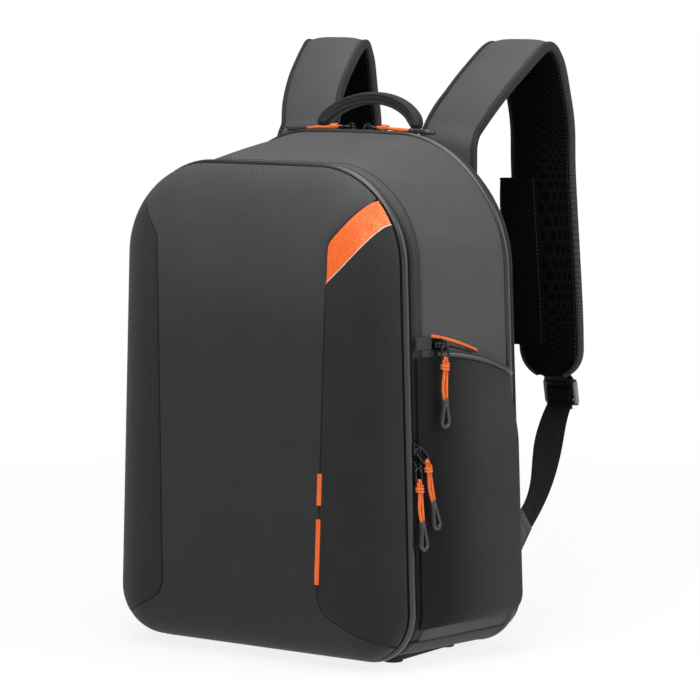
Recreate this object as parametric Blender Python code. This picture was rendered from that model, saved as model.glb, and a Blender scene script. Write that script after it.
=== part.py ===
"""Backpack for a camera drone: a fabric body on a base plate, a moulded front that opens like a book,
a padded back panel with shoulder straps that opens from the top, side pockets, and zips whose sliders
carry cord pulls.

The front faces -Y and +X is to the right as seen from the front. Pieces are drawn in the body's own frame,
whose y = 0 is the middle of the body's depth, and one empty then sets the whole over the origin."""

import math
from collections import namedtuple

import bmesh
import bpy
from mathutils import Matrix, Vector

# Sizes in metres

# Gap between pieces that touch
CLEAR = 0.0003

# Outline of the body, which is taller and rounder at the rear
FRONT_LOW_HALF_WIDTH = 0.1445
REAR_LOW_HALF_WIDTH = 0.1645
FRONT_TOP_HALF_WIDTH = 0.136
REAR_TOP_HALF_WIDTH = 0.154
BODY_FLOOR = 0.006
FRONT_HEIGHT = 0.4095
REAR_HEIGHT = 0.4255
FRONT_ARCH = 0.001
REAR_ARCH = 0.0075
LOW_CORNER = 0.042
FRONT_TOP_CORNER = 0.078
REAR_TOP_CORNER = 0.105
BODY_DEPTH = 0.12
BODY_WALL = 0.005
LOW_STEPS = 5
TOP_STEPS = 7
EDGE_STEPS = 3
LEAST_CORNER = 0.012

# Beads and zips
FRONT_BEAD_RADIUS = 0.0038
REAR_BEAD_RADIUS = 0.0032
BEAD_SUNK = 0.001
GROOVE_HALF = 0.0033
TAPE = 0.001
TAPE_LAP = 0.012
COIL_HEIGHT = 0.0015
COIL_WIDTH = 0.002

# Base
BASE_THICK = 0.003
BASE_HALF_WIDTH = 0.118
BASE_HALF_DEPTH = 0.05
BASE_CORNER = 0.012
FOOT_RADIUS = 0.008
FOOT_TOP_RADIUS = 0.0095
FOOT_IN = 0.011

# Front shell
SHELL_STRAIGHT = 0.0027
SHELL_ROUND = 0.052
BULGE_LOW = 0.036
BULGE_TOP = 0.031
CROWN = 0.005
CROWN_STEP = 0.028
SHELL_STEPS = 5
SKIN = 0.002
LINER = 0.0027

# Seams of the front, as (x, z) corners with a round at each
SEAM = 0.0008
SEAM_LOW = (0.0792, 0.0495)
SEAM_TOP = (0.0868, 0.3505)
SEAM_LOW_SLOPE = -0.5
SEAM_TOP_SLOPE = 1.22
SEAM_LOW_ROUND = 0.026
SEAM_TOP_ROUND = 0.014
ACCENT_TIP = 0.319
ACCENT_SLOPE = 0.95
ACCENT_BEND = 0.11
ACCENT_RIM_SLOPE = 1.45
STRIP_WIDTH = 0.0046
STRIP_PROUD = 0.0004
LOWER_STRIP = (0.0714, 0.1263)
UPPER_STRIP = (0.137, 0.1635)

# Inside
MID_WALL_Y = -0.022
MID_WALL = 0.004
SHELF = 0.010
SHELF_HEIGHTS = (0.155, 0.275)
SHELF_REAR_Y = 0.032
MESH_POCKET = 0.0015
MESH_POCKET_TOP = 0.24
SLEEVE_HALF_WIDTH = 0.118
SLEEVE_FLOOR = 0.05
SLEEVE_TOP = 0.29
SLEEVE_DEPTH = 0.022
SLEEVE_WALL = 0.002

# Side pockets
POCKET_IN = 0.0045
POCKET_FLOOR = 0.032
POCKET_FRONT_TOP = 0.2565
POCKET_DROP = 0.025
POCKET_PROUD = 0.013
POCKET_LIP = 0.0018
POCKET_SHEET = 0.0016
POCKET_FOOT_ROUND = 0.022
POCKET_BEAD = 0.0025
POCKET_BEAD_START = 0.2
POCKET_ZIP_START = 0.0185
POCKET_ZIP_END = 0.0725
POCKET_TAB_TALL = 0.011
ACCENT_CORD = 0.0014
ACCENT_CORD_RISE = 0.0101
ACCENT_CORD_END_RISE = 0.003

# Back panel and pads
BACK_THICK = 0.016
BACK_EDGE = 0.005
PAD_THICK = 0.012
PAD_ROUND = 0.020
PAD_INNER = 0.016
PAD_OUTER = 0.12
PAD_LOW = 0.172
PAD_TOP = 0.372
LUMBAR_HALF_WIDTH = 0.102
LUMBAR_LOW = 0.045
LUMBAR_TOP = 0.152

# Shoulder straps: stations as (x, behind the back panel, above the top of the back), width and thickness
STRAP_BASE_THICK = 0.008
STRAP_THICK = 0.014
STRAP_BASE_WIDTH = 0.06
STRAP_WIDTH = 0.065
STRAP_BASE_X = 0.075
STRAP_SEWN_LOW = -0.045
STRAP_SEWN_TOP = -0.012
STRAP_RISE = (
    (0.0755, 0.0145, 0.006), (0.083, 0.0294, 0.027), (0.0899, 0.0519, 0.0493), (0.0965, 0.0832, 0.0715),
    (0.0995, 0.0997, 0.0605), (0.1015, 0.109, 0.030), (0.102, 0.1155, 0.001), (0.103, 0.1162, -0.043),
    (0.107, 0.1222, -0.151), (0.108, 0.1232, -0.191))
STRAP_END = (0.1082, 0.1242, -0.219)
STRAP_LOOP = 0.0022
STRAP_LOOP_RUN = 0.010
FLAP_THICK = 0.002
FLAP_WIDTH = 0.040
FLAP_OVERHANG = 0.009
FLAP_STATIONS = (9.0, 11.0)

# Webbing, anchor tabs and ladder locks
WEB_WIDTH = 0.025
WEB_THICK = 0.0018
TAB_X = 0.126
TAB_HEIGHT = 0.053
TAB_TALL = 0.050
TAB_THICK = 0.003
TAB_REACH = (0.004, 0.046, 0.040)
LOCK_SIDE = 0.0035
LOCK_BAR = 0.004
LOCK_SLOT = 0.006
LOCK_THICK = 0.004
LOCK_LEAN = math.radians(12)

# Grab handle
HANDLE_HALF_SPAN = 0.0475
HANDLE_WIDTH = 0.013
HANDLE_THICK = 0.007
HANDLE_RISE = 0.030
HANDLE_SETBACK = 0.0069
HANDLE_LEAN = math.radians(22)
HANDLE_ROOT = 0.0016
HANDLE_ROOT_GAP = 0.0005

# Sliders and pulls
SLIDER_LENGTH = 0.013
SLIDER_PLAY = 0.0005
SLIDER_PROUD = 0.0025
EYE_HALF = 0.0019
EYE_BAR = 0.001
EYE_HALF_WIDTH = 0.0008
FRONT_SLIDER_Z = 0.183
SLIDER_APART = 0.0025
TOP_SLIDER_X = 0.0085
RING_WIRE = 0.0008
RING_LENGTH = 0.011
CORD_RADIUS = 0.0015
CORD_LENGTH = 0.034
GRIP_COLLAR = 0.0038
GRIP_COLLAR_THICK = 0.0024
GRIP_COLLAR_LONG = 0.005
GRIP_WIRE = 0.002
GRIP_HALF_WIDTH = 0.0042
GRIP_LENGTH = 0.021
UPPER_RING_LENGTH = 0.016
UPPER_RING_LEAN = math.radians(45)
UPPER_CORD_LEAN = math.radians(4)
UPPER_PULL_LIFT = math.radians(6)
LOWER_PULL_LIFT = math.radians(3.5)
TOP_PULL_DIP = math.radians(3)

# Planes and depths that follow from the sizes above
SHELL_WALL = SKIN + CLEAR + LINER
ZIP_SUNK = max(BODY_WALL, SHELL_WALL, BEAD_SUNK + max(FRONT_BEAD_RADIUS, REAR_BEAD_RADIUS)) + 2 * CLEAR
COIL_TOP = ZIP_SUNK - COIL_HEIGHT
FRONT_ZIP_Y = -BODY_DEPTH / 2
REAR_BEAD_Y = BODY_DEPTH / 2
GUSSET_FRONT_Y = FRONT_ZIP_Y + GROOVE_HALF
FRONT_BEAD_Y = FRONT_ZIP_Y - GROOVE_HALF - FRONT_BEAD_RADIUS
RIM_Y = FRONT_BEAD_Y - FRONT_BEAD_RADIUS - CLEAR
REAR_ZIP_Y = REAR_BEAD_Y + REAR_BEAD_RADIUS + GROOVE_HALF
BACK_FRONT_Y = REAR_ZIP_Y + GROOVE_HALF
BACK_REAR_Y = BACK_FRONT_Y + BACK_THICK
REAR_TOP_Z = REAR_HEIGHT + REAR_ARCH
RING_HALF_WIDTH = GROOVE_HALF + RING_WIRE
SLIDER_BASE = COIL_TOP - CLEAR
EYE_OUT = SLIDER_PROUD + EYE_HALF
LOCK_WIDTH = WEB_WIDTH + 2 * (LOCK_SIDE + CLEAR)
LOCK_TALL = 3 * LOCK_BAR + 2 * LOCK_SLOT
LOCK_AXIS = Vector((STRAP_END[0], BACK_REAR_Y + STRAP_END[1] + STRAP_LOOP_RUN + LOCK_THICK,
                    REAR_TOP_Z + STRAP_END[2] - STRAP_LOOP_RUN / 2))
FRONT_REACH = RIM_Y - SHELL_STRAIGHT - BULGE_LOW - CROWN
REAR_REACH = LOCK_AXIS.y + LOCK_TALL * math.sin(LOCK_LEAN) + LOCK_THICK / 2
BODY_Y = -(FRONT_REACH + REAR_REACH) / 2

Section = namedtuple("Section", "half_low half_top floor height arch low_corner top_corner")
FRONT_SECTION = Section(FRONT_LOW_HALF_WIDTH, FRONT_TOP_HALF_WIDTH, BODY_FLOOR, FRONT_HEIGHT, FRONT_ARCH,
                        LOW_CORNER, FRONT_TOP_CORNER)
REAR_SECTION = Section(REAR_LOW_HALF_WIDTH, REAR_TOP_HALF_WIDTH, BODY_FLOOR, REAR_HEIGHT, REAR_ARCH,
                       LOW_CORNER, REAR_TOP_CORNER)


# Scene

def clear_scene():
    for obj in list(bpy.data.objects):
        bpy.data.objects.remove(obj, do_unlink=True)


def finish(name, colour, roughness, metallic=0.0):
    material = bpy.data.materials.new(name)
    material.use_nodes = True
    shader = material.node_tree.nodes["Principled BSDF"]
    shader.inputs["Base Color"].default_value = (*colour, 1.0)
    shader.inputs["Roughness"].default_value = roughness
    shader.inputs["Metallic"].default_value = metallic
    return material


def pivot(name, parent, axes=None, at=(0.0, 0.0, 0.0)):
    """An empty at a place in the body's frame, turned so that its x, y and z lie along the given axes."""
    empty = bpy.data.objects.new(name, None)
    empty.empty_display_size = 0.02
    bpy.context.collection.objects.link(empty)
    turn = Matrix.Identity(4)
    if axes:
        turn = Matrix([[axis[row] for axis in axes] for row in range(3)]).to_4x4()
    frame = Matrix.Translation(Vector(at)) @ turn
    empty["frame"] = [value for row in frame for value in row]
    if parent:
        empty.parent = parent
        empty.matrix_local = frame_of(parent).inverted() @ frame
    return empty


def frame_of(empty):
    """The empty's place in the body's frame."""
    values = list(empty["frame"])
    return Matrix([values[4 * row:4 * row + 4] for row in range(4)])


def mesh_from(name, points, faces):
    mesh = bpy.data.meshes.new(name)
    mesh.from_pydata([tuple(point) for point in points], [], faces)
    shape = bmesh.new()
    shape.from_mesh(mesh)
    bmesh.ops.recalc_face_normals(shape, faces=shape.faces)
    shape.to_mesh(mesh)
    shape.free()
    return mesh


def add(name, mesh, material, carrier, in_body_frame=True):
    """Adds the mesh as a piece of the carrier; a mesh in the body's frame is moved into the carrier's own."""
    mesh.name = name
    if in_body_frame:
        mesh.transform(frame_of(carrier).inverted())
    mesh.materials.clear()
    mesh.materials.append(material)
    mesh.shade_smooth()
    mesh.set_sharp_from_angle(angle=math.radians(35))
    obj = bpy.data.objects.new(name, mesh)
    bpy.context.collection.objects.link(obj)
    obj.parent = carrier
    return obj


def combined(name, first, *steps):
    """The mesh left after a run of (operation, mesh) Booleans on the first mesh."""
    result = first
    for operation, other in steps:
        base = bpy.data.objects.new("base", result)
        tool = bpy.data.objects.new("tool", other)
        for obj in (base, tool):
            bpy.context.collection.objects.link(obj)
        change = base.modifiers.new("change", "BOOLEAN")
        change.operation = operation
        change.object = tool
        change.solver = "EXACT"
        graph = bpy.context.evaluated_depsgraph_get()
        result = bpy.data.meshes.new_from_object(base.evaluated_get(graph))
        for obj in (base, tool):
            bpy.data.objects.remove(obj, do_unlink=True)
    result.name = name
    return result


# Shapes

def mix(start, end, share):
    return start + (end - start) * share


def smooth(share):
    share = min(1.0, max(0.0, share))
    return share * share * (3 - 2 * share)


def section_at(along):
    return Section(*(mix(a, b, along) for a, b in zip(FRONT_SECTION, REAR_SECTION)))


def corner_centres(section, inset):
    """Centres and radii of the low and top corner rounds, and the angle at which the side runs off them."""
    low_radius = max(section.low_corner - inset, LEAST_CORNER)
    top_radius = max(section.top_corner - inset, LEAST_CORNER)
    low = Vector((section.half_low - inset - low_radius, section.floor + inset + low_radius))
    top = Vector((section.half_top - inset - top_radius, section.height - inset - top_radius))
    run = top - low
    join = math.atan2(run.y, run.x) - math.acos((low_radius - top_radius) / run.length)
    return low, low_radius, top, top_radius, join


def outline(along, inset=0.0):
    """(x, z) points round the body, from the middle of the base up the right side and over to the left."""
    section = section_at(along)
    low, low_radius, top, top_radius, join = corner_centres(section, inset)
    right = [Vector((0.0, section.floor + inset))]
    for step in range(LOW_STEPS + 1):
        angle = mix(-math.pi / 2, join, step / LOW_STEPS)
        right.append(low + low_radius * Vector((math.cos(angle), math.sin(angle))))
    for step in range(TOP_STEPS + 1):
        angle = mix(join, math.pi / 2, step / TOP_STEPS)
        right.append(top + top_radius * Vector((math.cos(angle), math.sin(angle))))
    for step in range(1, EDGE_STEPS + 1):
        right.append(Vector((top.x * (1 - step / EDGE_STEPS), top.y + top_radius)))
    for point in right:
        lift = max(0.0, (point.y - top.y) / top_radius)
        point.y += section.arch * lift * lift * (1 - (point.x / section.half_top) ** 2)
    left = [Vector((-point.x, point.y)) for point in reversed(right[1:-1])]
    return right + left


OUTLINE_COUNT = len(outline(0.0))
RIGHT_SIDE_LOW = LOW_STEPS + 1
LEFT_SIDE_LOW = OUTLINE_COUNT - RIGHT_SIDE_LOW
LEFT_SIDE_TOP = LEFT_SIDE_LOW - 1


def along_at(y):
    return (y - FRONT_ZIP_Y) / BODY_DEPTH


def held_along(y):
    """The share of the depth, kept to the front section before the body and to the rear section behind it."""
    return min(1.0, max(0.0, along_at(y)))


def side_x(y, z):
    """Half width of the body's outer face at a depth and height below the top corners."""
    low, low_radius, _, _, join = corner_centres(section_at(along_at(y)), 0.0)
    if z < low.y + low_radius * math.sin(join):
        return low.x + math.sqrt(low_radius ** 2 - (low.y - z) ** 2)
    return (low.x * math.cos(join) + (low.y - z) * math.sin(join) + low_radius) / math.cos(join)


def tube(rings, closed=False):
    """Points and faces of a skin over rings of equal count, capped at both ends unless it closes on itself."""
    size = len(rings[0])
    points = [point for ring in rings for point in ring]
    faces = []
    for index in range(len(rings) if closed else len(rings) - 1):
        here = index * size
        there = (index + 1) % len(rings) * size
        for k in range(size):
            n = (k + 1) % size
            faces.append((here + k, here + n, there + n, there + k))
    if not closed:
        faces.append(tuple(range(size)))
        faces.append(tuple(range(len(points) - size, len(points))))
    return points, faces


def belt(profile, first=0, last=None):
    """A profile of (y, inset, along) corners carried round the outline, or along a stretch of it."""
    loops = [outline(along, inset) for _, inset, along in profile]
    stations = range(OUTLINE_COUNT) if last is None else range(first, last + 1)
    rings = []
    for station in stations:
        spot = station % OUTLINE_COUNT
        rings.append([(loop[spot].x, corner[0], loop[spot].y) for loop, corner in zip(loops, profile)])
    return tube(rings, closed=last is None)


def round_profile(y, inset, radius, along, sides=8):
    turns = [2 * math.pi * side / sides for side in range(sides)]
    return [(y + radius * math.sin(turn), inset + radius * math.cos(turn), along) for turn in turns]


def smooth_route(stations, steps):
    """Points on a curve through the stations; the stations may hold any numbers that vary along the route."""
    ends = [stations[0]] + list(stations) + [stations[-1]]
    route = []
    for a, b, c, d in zip(ends, ends[1:], ends[2:], ends[3:]):
        for step in range(steps):
            t = step / steps
            route.append([((2 * q) + (r - p) * t + (2 * p - 5 * q + 4 * r - s) * t * t
                           + (3 * q - p - 3 * r + s) * t ** 3) / 2 for p, q, r, s in zip(a, b, c, d)])
    route.append(list(stations[-1]))
    return route


def ribbon(centres, widths, thicknesses, across, profile):
    """A flat section of (share of half width, share of half thickness) corners carried along a route."""
    rings = []
    last = len(centres) - 1
    for index, centre in enumerate(centres):
        ahead = (centres[min(index + 1, last)] - centres[max(index - 1, 0)]).normalized()
        side = across[index] - ahead * across[index].dot(ahead)
        side.normalize()
        up = ahead.cross(side)
        half_width = widths[index] / 2
        half_thick = thicknesses[index] / 2
        rings.append([centre + side * (a * half_width) + up * (b * half_thick) for a, b in profile])
    return tube(rings)


def wire(path, axis, radius, sides=6, closed=False):
    """A round wire along a path that lies about in the plane square to the axis."""
    rings = []
    count = len(path)
    for index, point in enumerate(path):
        before = path[index - 1] if closed or index else path[0]
        after = path[(index + 1) % count] if closed or index + 1 < count else path[-1]
        ahead = (after - before).normalized()
        up = (axis - ahead * axis.dot(ahead)).normalized()
        side = ahead.cross(up)
        turns = [2 * math.pi * (k + 0.5) / sides for k in range(sides)]
        rings.append([point + radius * (up * math.cos(turn) + side * math.sin(turn)) for turn in turns])
    return tube(rings, closed)


def rounded_rectangle(low_x, high_x, low_z, high_z, radius, steps=4):
    centres = ((high_x, low_z, -1, 1, -90), (high_x, high_z, -1, -1, 0), (low_x, high_z, 1, -1, 90),
               (low_x, low_z, 1, 1, 180))
    points = []
    for x, z, inward_x, inward_z, start in centres:
        for step in range(steps + 1):
            angle = math.radians(start + 90 * step / steps)
            round_x = x + radius * (inward_x + math.cos(angle))
            round_z = z + radius * (inward_z + math.sin(angle))
            points.append(Vector((round_x, round_z)))
    return points


def prism(polygon, start_y, end_y):
    return tube([[(point[0], y, point[1]) for point in polygon] for y in (start_y, end_y)])


def brick(low, high):
    return prism([(low[0], low[2]), (high[0], low[2]), (high[0], high[2]), (low[0], high[2])], low[1], high[1])


# Front shell

def shell_rings(wall):
    """Rings from the rim to the crown of the shell's surface, set in by a wall."""
    rises = [(wall, 0.0, 0.0, 0.0)]
    for step in range(SHELL_STEPS + 1):
        angle = math.pi / 2 * step / SHELL_STEPS
        inset = SHELL_ROUND * (1 - math.cos(angle)) + wall * math.cos(angle)
        rises.append((inset, SHELL_STRAIGHT - wall * math.sin(angle), math.sin(angle), 0.0))
    for step in (1, 2):
        rises.append((SHELL_ROUND + step * CROWN_STEP, SHELL_STRAIGHT - wall, 1.0, CROWN * step / 2))
    rings = []
    for inset, depth, share, crown in rises:
        ring = []
        for point in outline(0.0, inset):
            bulge = mix(BULGE_LOW, BULGE_TOP, (point.y - BODY_FLOOR) / (FRONT_HEIGHT - BODY_FLOOR))
            ring.append((point.x, RIM_Y - depth - share * bulge - crown, point.y))
        rings.append(ring)
    return rings


def shell_mesh(name, outer_wall, inner_wall):
    """The shell between two walls, with both faces split along the same diagonals so that layers stay apart."""
    rings = shell_rings(outer_wall) + shell_rings(inner_wall)
    points = [point for ring in rings for point in ring]
    rows = len(rings) // 2
    size = OUTLINE_COUNT
    faces = []
    for base in (0, rows * size):
        for row in range(rows - 1):
            for k in range(size):
                a = base + row * size + k
                b = base + row * size + (k + 1) % size
                faces += [(a, b, b + size), (a, b + size, a + size)]
        crown = base + (rows - 1) * size
        faces.append(tuple(range(crown, crown + size)))
    for k in range(size):
        n = (k + 1) % size
        faces.append((k, n, rows * size + n, rows * size + k))
    return mesh_from(name, points, faces)


def filleted(corners, rounds, steps=5):
    """A path through the corners with each inner corner rounded off."""
    path = [Vector(corners[0])]
    for before, corner, after, radius in zip(corners, corners[1:], corners[2:], rounds):
        back = (Vector(before) - Vector(corner)).normalized()
        ahead = (Vector(after) - Vector(corner)).normalized()
        half = back.angle(ahead) / 2
        run = radius / math.tan(half)
        start = Vector(corner) + back * run
        end = Vector(corner) + ahead * run
        centre = Vector(corner) + (back + ahead).normalized() * (radius / math.sin(half))
        first = start - centre
        turn = first.angle_signed(end - centre)
        for step in range(steps + 1):
            swing = Matrix.Rotation(-turn * step / steps, 2)
            path.append(centre + swing @ first)
    path.append(Vector(corners[-1]))
    return path


def shifted(path, distance):
    """The path moved sideways to its right."""
    moved = []
    for index, point in enumerate(path):
        ahead = path[min(index + 1, len(path) - 1)] - path[max(index - 1, 0)]
        ahead.normalize()
        moved.append(point + distance * Vector((ahead.y, -ahead.x)))
    return moved


def seam_path():
    """The right seam of the front, from past the low corner to past the top corner."""
    reach = 1.2 * FRONT_LOW_HALF_WIDTH
    start = (reach, SEAM_LOW[1] + SEAM_LOW_SLOPE * (reach - SEAM_LOW[0]))
    end = (reach, SEAM_TOP[1] + SEAM_TOP_SLOPE * (reach - SEAM_TOP[0]))
    return filleted([start, SEAM_LOW, SEAM_TOP, end], (SEAM_LOW_ROUND, SEAM_TOP_ROUND))


def seam_x(z):
    return mix(SEAM_LOW[0], SEAM_TOP[0], (z - SEAM_LOW[1]) / (SEAM_TOP[1] - SEAM_LOW[1]))


def strip_polygon(strip, half_width):
    """A strip of the seam as a four-cornered outline."""
    low, high = strip
    low_x = seam_x(low)
    high_x = seam_x(high)
    return [(low_x - half_width, low), (low_x + half_width, low), (high_x + half_width, high),
            (high_x - half_width, high)]


def cutter(polygon):
    front = FRONT_REACH - SHELL_STRAIGHT
    return mesh_from("cutter", *prism(polygon, front, 0.0))


def front_shell(carrier, finishes):
    add("front_shell_liner", shell_mesh("liner", SKIN + CLEAR, SHELL_WALL), finishes["liner"], carrier)
    far = 2 * FRONT_LOW_HALF_WIDTH
    top = 2 * FRONT_HEIGHT
    inner = shifted(seam_path(), -SEAM / 2)
    outer = shifted(seam_path(), SEAM / 2)
    mirrored = [Vector((-point.x, point.y)) for point in reversed(inner)]
    centre = [Vector((far, -far))] + inner + [Vector((far, top)), Vector((-far, top))] + mirrored
    centre.append(Vector((-far, -far)))
    left = [Vector((-point.x, point.y)) for point in outer]
    left += [Vector((-far, outer[-1].y)), Vector((-far, outer[0].y))]
    tip = Vector((seam_x(ACCENT_TIP) + SEAM / 2, ACCENT_TIP))
    bend = Vector((ACCENT_BEND, ACCENT_TIP + ACCENT_SLOPE * (ACCENT_BEND - tip.x)))
    accent_end = Vector((outer[0].x, bend.y + ACCENT_RIM_SLOPE * (outer[0].x - bend.x)))
    below = [point for point in outer if point.y < tip.y]
    above = [point for point in outer if point.y > tip.y]
    gap = Vector((SEAM, -SEAM)) / 2
    right = below + [tip + gap, bend + gap, accent_end + gap]
    right += [Vector((far, accent_end.y)), Vector((far, outer[0].y))]
    accent = [tip - gap + Vector((SEAM / 2, 0))] + above + [accent_end - gap, bend - gap]
    bed = STRIP_WIDTH / 2 + CLEAR
    strip_beds = [cutter(strip_polygon(strip, bed)) for strip in (LOWER_STRIP, UPPER_STRIP)]
    panels = (("front_panel_centre", centre, "shell"), ("front_panel_left", left, "shell"),
              ("front_panel_right", right, "shell"), ("front_accent_panel", accent, "orange"))
    for name, polygon, material in panels:
        steps = [("INTERSECT", cutter(polygon))]
        if name in ("front_panel_centre", "front_panel_right"):
            steps += [("DIFFERENCE", strip_bed) for strip_bed in strip_beds]
        add(name, combined(name, shell_mesh("skin", 0.0, SKIN), *steps), finishes[material], carrier)
    for name, strip in (("seam_strip_lower", LOWER_STRIP), ("seam_strip_upper", UPPER_STRIP)):
        skin = shell_mesh("skin", -STRIP_PROUD, SKIN)
        shape = combined(name, skin, ("INTERSECT", cutter(strip_polygon(strip, STRIP_WIDTH / 2))))
        add(name, shape, finishes["orange"], carrier)
    bead = belt(round_profile(FRONT_BEAD_Y, BEAD_SUNK, FRONT_BEAD_RADIUS, 0.0))
    add("front_piping", mesh_from("bead", *bead), finishes["piping"], carrier)
    edge = FRONT_ZIP_Y - CLEAR / 2
    tail = RIM_Y - SHELL_STRAIGHT + CLEAR
    profile = zip_profile(edge, edge - COIL_WIDTH, tail)
    add("front_zip_shell_side", mesh_from("zip", *belt(profile, LEFT_SIDE_LOW, OUTLINE_COUNT + LEFT_SIDE_TOP)),
        finishes["zip"], carrier)
    inset = ZIP_SUNK + TAPE + CLEAR
    low_part = [point for point in outline(0.0, inset) if point.y < MESH_POCKET_TOP]
    right_half = [point for point in low_part if point.x >= 0]
    edge_x = side_x(FRONT_ZIP_Y, MESH_POCKET_TOP) - inset - CLEAR
    corner = Vector((edge_x, MESH_POCKET_TOP))
    half = right_half + [corner]
    polygon = half + [Vector((-point.x, point.y)) for point in reversed(half) if point.x > 0]
    rear = tail + MESH_POCKET
    add("shell_mesh_pocket", mesh_from("mesh", *prism(polygon, tail, rear)), finishes["mesh"], carrier)


# Body

def zip_profile(edge, coil_end, tail):
    """Section of one half of a zip: a tape with the coil standing level along its edge."""
    inner = ZIP_SUNK + TAPE
    corners = ((edge, inner), (edge, COIL_TOP), (coil_end, COIL_TOP), (coil_end, ZIP_SUNK), (tail, ZIP_SUNK),
               (tail, inner))
    return [(y, inset, held_along(tail if y == tail else edge)) for y, inset in corners]


def body(carrier, finishes):
    rear = REAR_BEAD_Y - REAR_BEAD_RADIUS - CLEAR
    depths = [mix(GUSSET_FRONT_Y, rear, share / 3) for share in range(4)]
    profile = [(y, 0.0, along_at(y)) for y in depths] + [(y, BODY_WALL, along_at(y)) for y in reversed(depths)]
    add("gusset", mesh_from("gusset", *belt(profile)), finishes["gusset"], carrier)
    bead = belt(round_profile(REAR_BEAD_Y, BEAD_SUNK, REAR_BEAD_RADIUS, 1.0))
    add("rear_piping", mesh_from("bead", *bead), finishes["piping"], carrier)

    edge = FRONT_ZIP_Y + CLEAR / 2
    front_zip = zip_profile(edge, edge + COIL_WIDTH, GUSSET_FRONT_Y + TAPE_LAP)
    add("front_zip_body_side", mesh_from("zip", *belt(front_zip, LEFT_SIDE_LOW, OUTLINE_COUNT + LEFT_SIDE_TOP)),
        finishes["zip"], carrier)
    edge = REAR_ZIP_Y - CLEAR / 2
    rear_zip = zip_profile(edge, edge - COIL_WIDTH, REAR_BEAD_Y - TAPE_LAP)
    add("rear_zip_body_side", mesh_from("zip", *belt(rear_zip, RIGHT_SIDE_LOW, LEFT_SIDE_LOW)), finishes["zip"],
        carrier)
    hinges = (
        ("front_hinge_tape", FRONT_ZIP_Y + CLEAR, GUSSET_FRONT_Y + TAPE_LAP, LEFT_SIDE_TOP, LEFT_SIDE_LOW),
        ("rear_hinge_tape", REAR_ZIP_Y - CLEAR, REAR_BEAD_Y - TAPE_LAP, LEFT_SIDE_LOW,
         OUTLINE_COUNT + RIGHT_SIDE_LOW))
    for name, edge, tail, first, last in hinges:
        corners = ((edge, ZIP_SUNK), (tail, ZIP_SUNK), (tail, ZIP_SUNK + TAPE), (edge, ZIP_SUNK + TAPE))
        profile = [(y, inset, held_along(y)) for y, inset in corners]
        add(name, trimmed_belt(name, profile, first, last), finishes["zip"], carrier)

    foot_z = BODY_FLOOR - CLEAR
    plate = rounded_rectangle(-BASE_HALF_WIDTH, BASE_HALF_WIDTH, -BASE_HALF_DEPTH, BASE_HALF_DEPTH, BASE_CORNER)
    layers = [[(p.x, p.y, z) for p in plate] for z in (foot_z - BASE_THICK, foot_z)]
    base = mesh_from("base", *tube(layers))
    feet = []
    for x in (-BASE_HALF_WIDTH + FOOT_IN, BASE_HALF_WIDTH - FOOT_IN):
        for y in (-BASE_HALF_DEPTH + FOOT_IN, BASE_HALF_DEPTH - FOOT_IN):
            feet.append(("UNION", mesh_from("foot", *foot(x, y, foot_z - BASE_THICK / 2))))
    add("base_plate", combined("base_plate", base, *feet), finishes["rubber"], carrier)


def trimmed_belt(name, profile, first, last):
    """A belt whose two end stations stop short of its neighbours by the clearance."""
    points, faces = belt(profile, first, last)
    size = len(profile)
    rings = [[Vector(point) for point in points[i:i + size]] for i in range(0, len(points), size)]
    for end, nearest in ((0, 1), (-1, -2)):
        step = (rings[nearest][0] - rings[end][0]).normalized() * CLEAR
        rings[end] = [point + step for point in rings[end]]
    return mesh_from(name, *tube(rings))


def foot(x, y, top, sides=16):
    """A tapered stud whose flat end stands on the ground."""
    rings = []
    for radius, z in ((FOOT_RADIUS, 0.0), (FOOT_TOP_RADIUS, top)):
        turns = [2 * math.pi * side / sides for side in range(sides)]
        rings.append([(x + radius * math.cos(turn), y + radius * math.sin(turn), z) for turn in turns])
    return tube(rings)


def inside(carrier, finishes):
    """The wall between the compartments and the padded shelves of the rear one."""
    middle = MID_WALL_Y + MID_WALL / 2
    profile = outline(along_at(middle), BODY_WALL + 2 * CLEAR)
    wall = prism(profile, MID_WALL_Y, MID_WALL_Y + MID_WALL)
    add("compartment_wall", mesh_from("wall", *wall), finishes["liner"], carrier)
    front = MID_WALL_Y + MID_WALL + CLEAR
    for name, z in zip(("padded_shelf_lower", "padded_shelf_upper"), SHELF_HEIGHTS):
        half = min(side_x(front, z + SHELF), side_x(SHELF_REAR_Y, z + SHELF)) - BODY_WALL - 2 * CLEAR
        plan = rounded_rectangle(-half, half, front, SHELF_REAR_Y, SHELF / 2, 2)
        layers = [[(p.x, p.y, level) for p in plan] for level in (z, z + SHELF)]
        add(name, mesh_from(name, *tube(layers)), finishes["liner"], carrier)


# Side pockets

POCKET_FRONT_Y = FRONT_ZIP_Y + POCKET_IN
POCKET_REAR_Y = REAR_BEAD_Y - POCKET_IN
POCKET_COLUMNS = (0.0, 0.12, 0.22, 0.32, 0.43, 0.55, 0.68, 0.8, 0.88, 0.93, 0.965, 0.99, 1.0)
POCKET_ROWS = (0.0, 0.03, 0.08, 0.14, 0.3, 0.5, 0.7, 0.85, 0.95, 1.0)
POCKET_RISE_START = 0.14
POCKET_RISE_END = 0.78
POCKET_ROUND_START = 0.86
POCKET_MOUTH = 0.5
POCKET_MOUTH_START = 0.72


def pocket_top(share):
    """Height of the pocket's mouth at a share of its run from front to rear."""
    return POCKET_FRONT_TOP - POCKET_DROP * share ** 2.3


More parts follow.
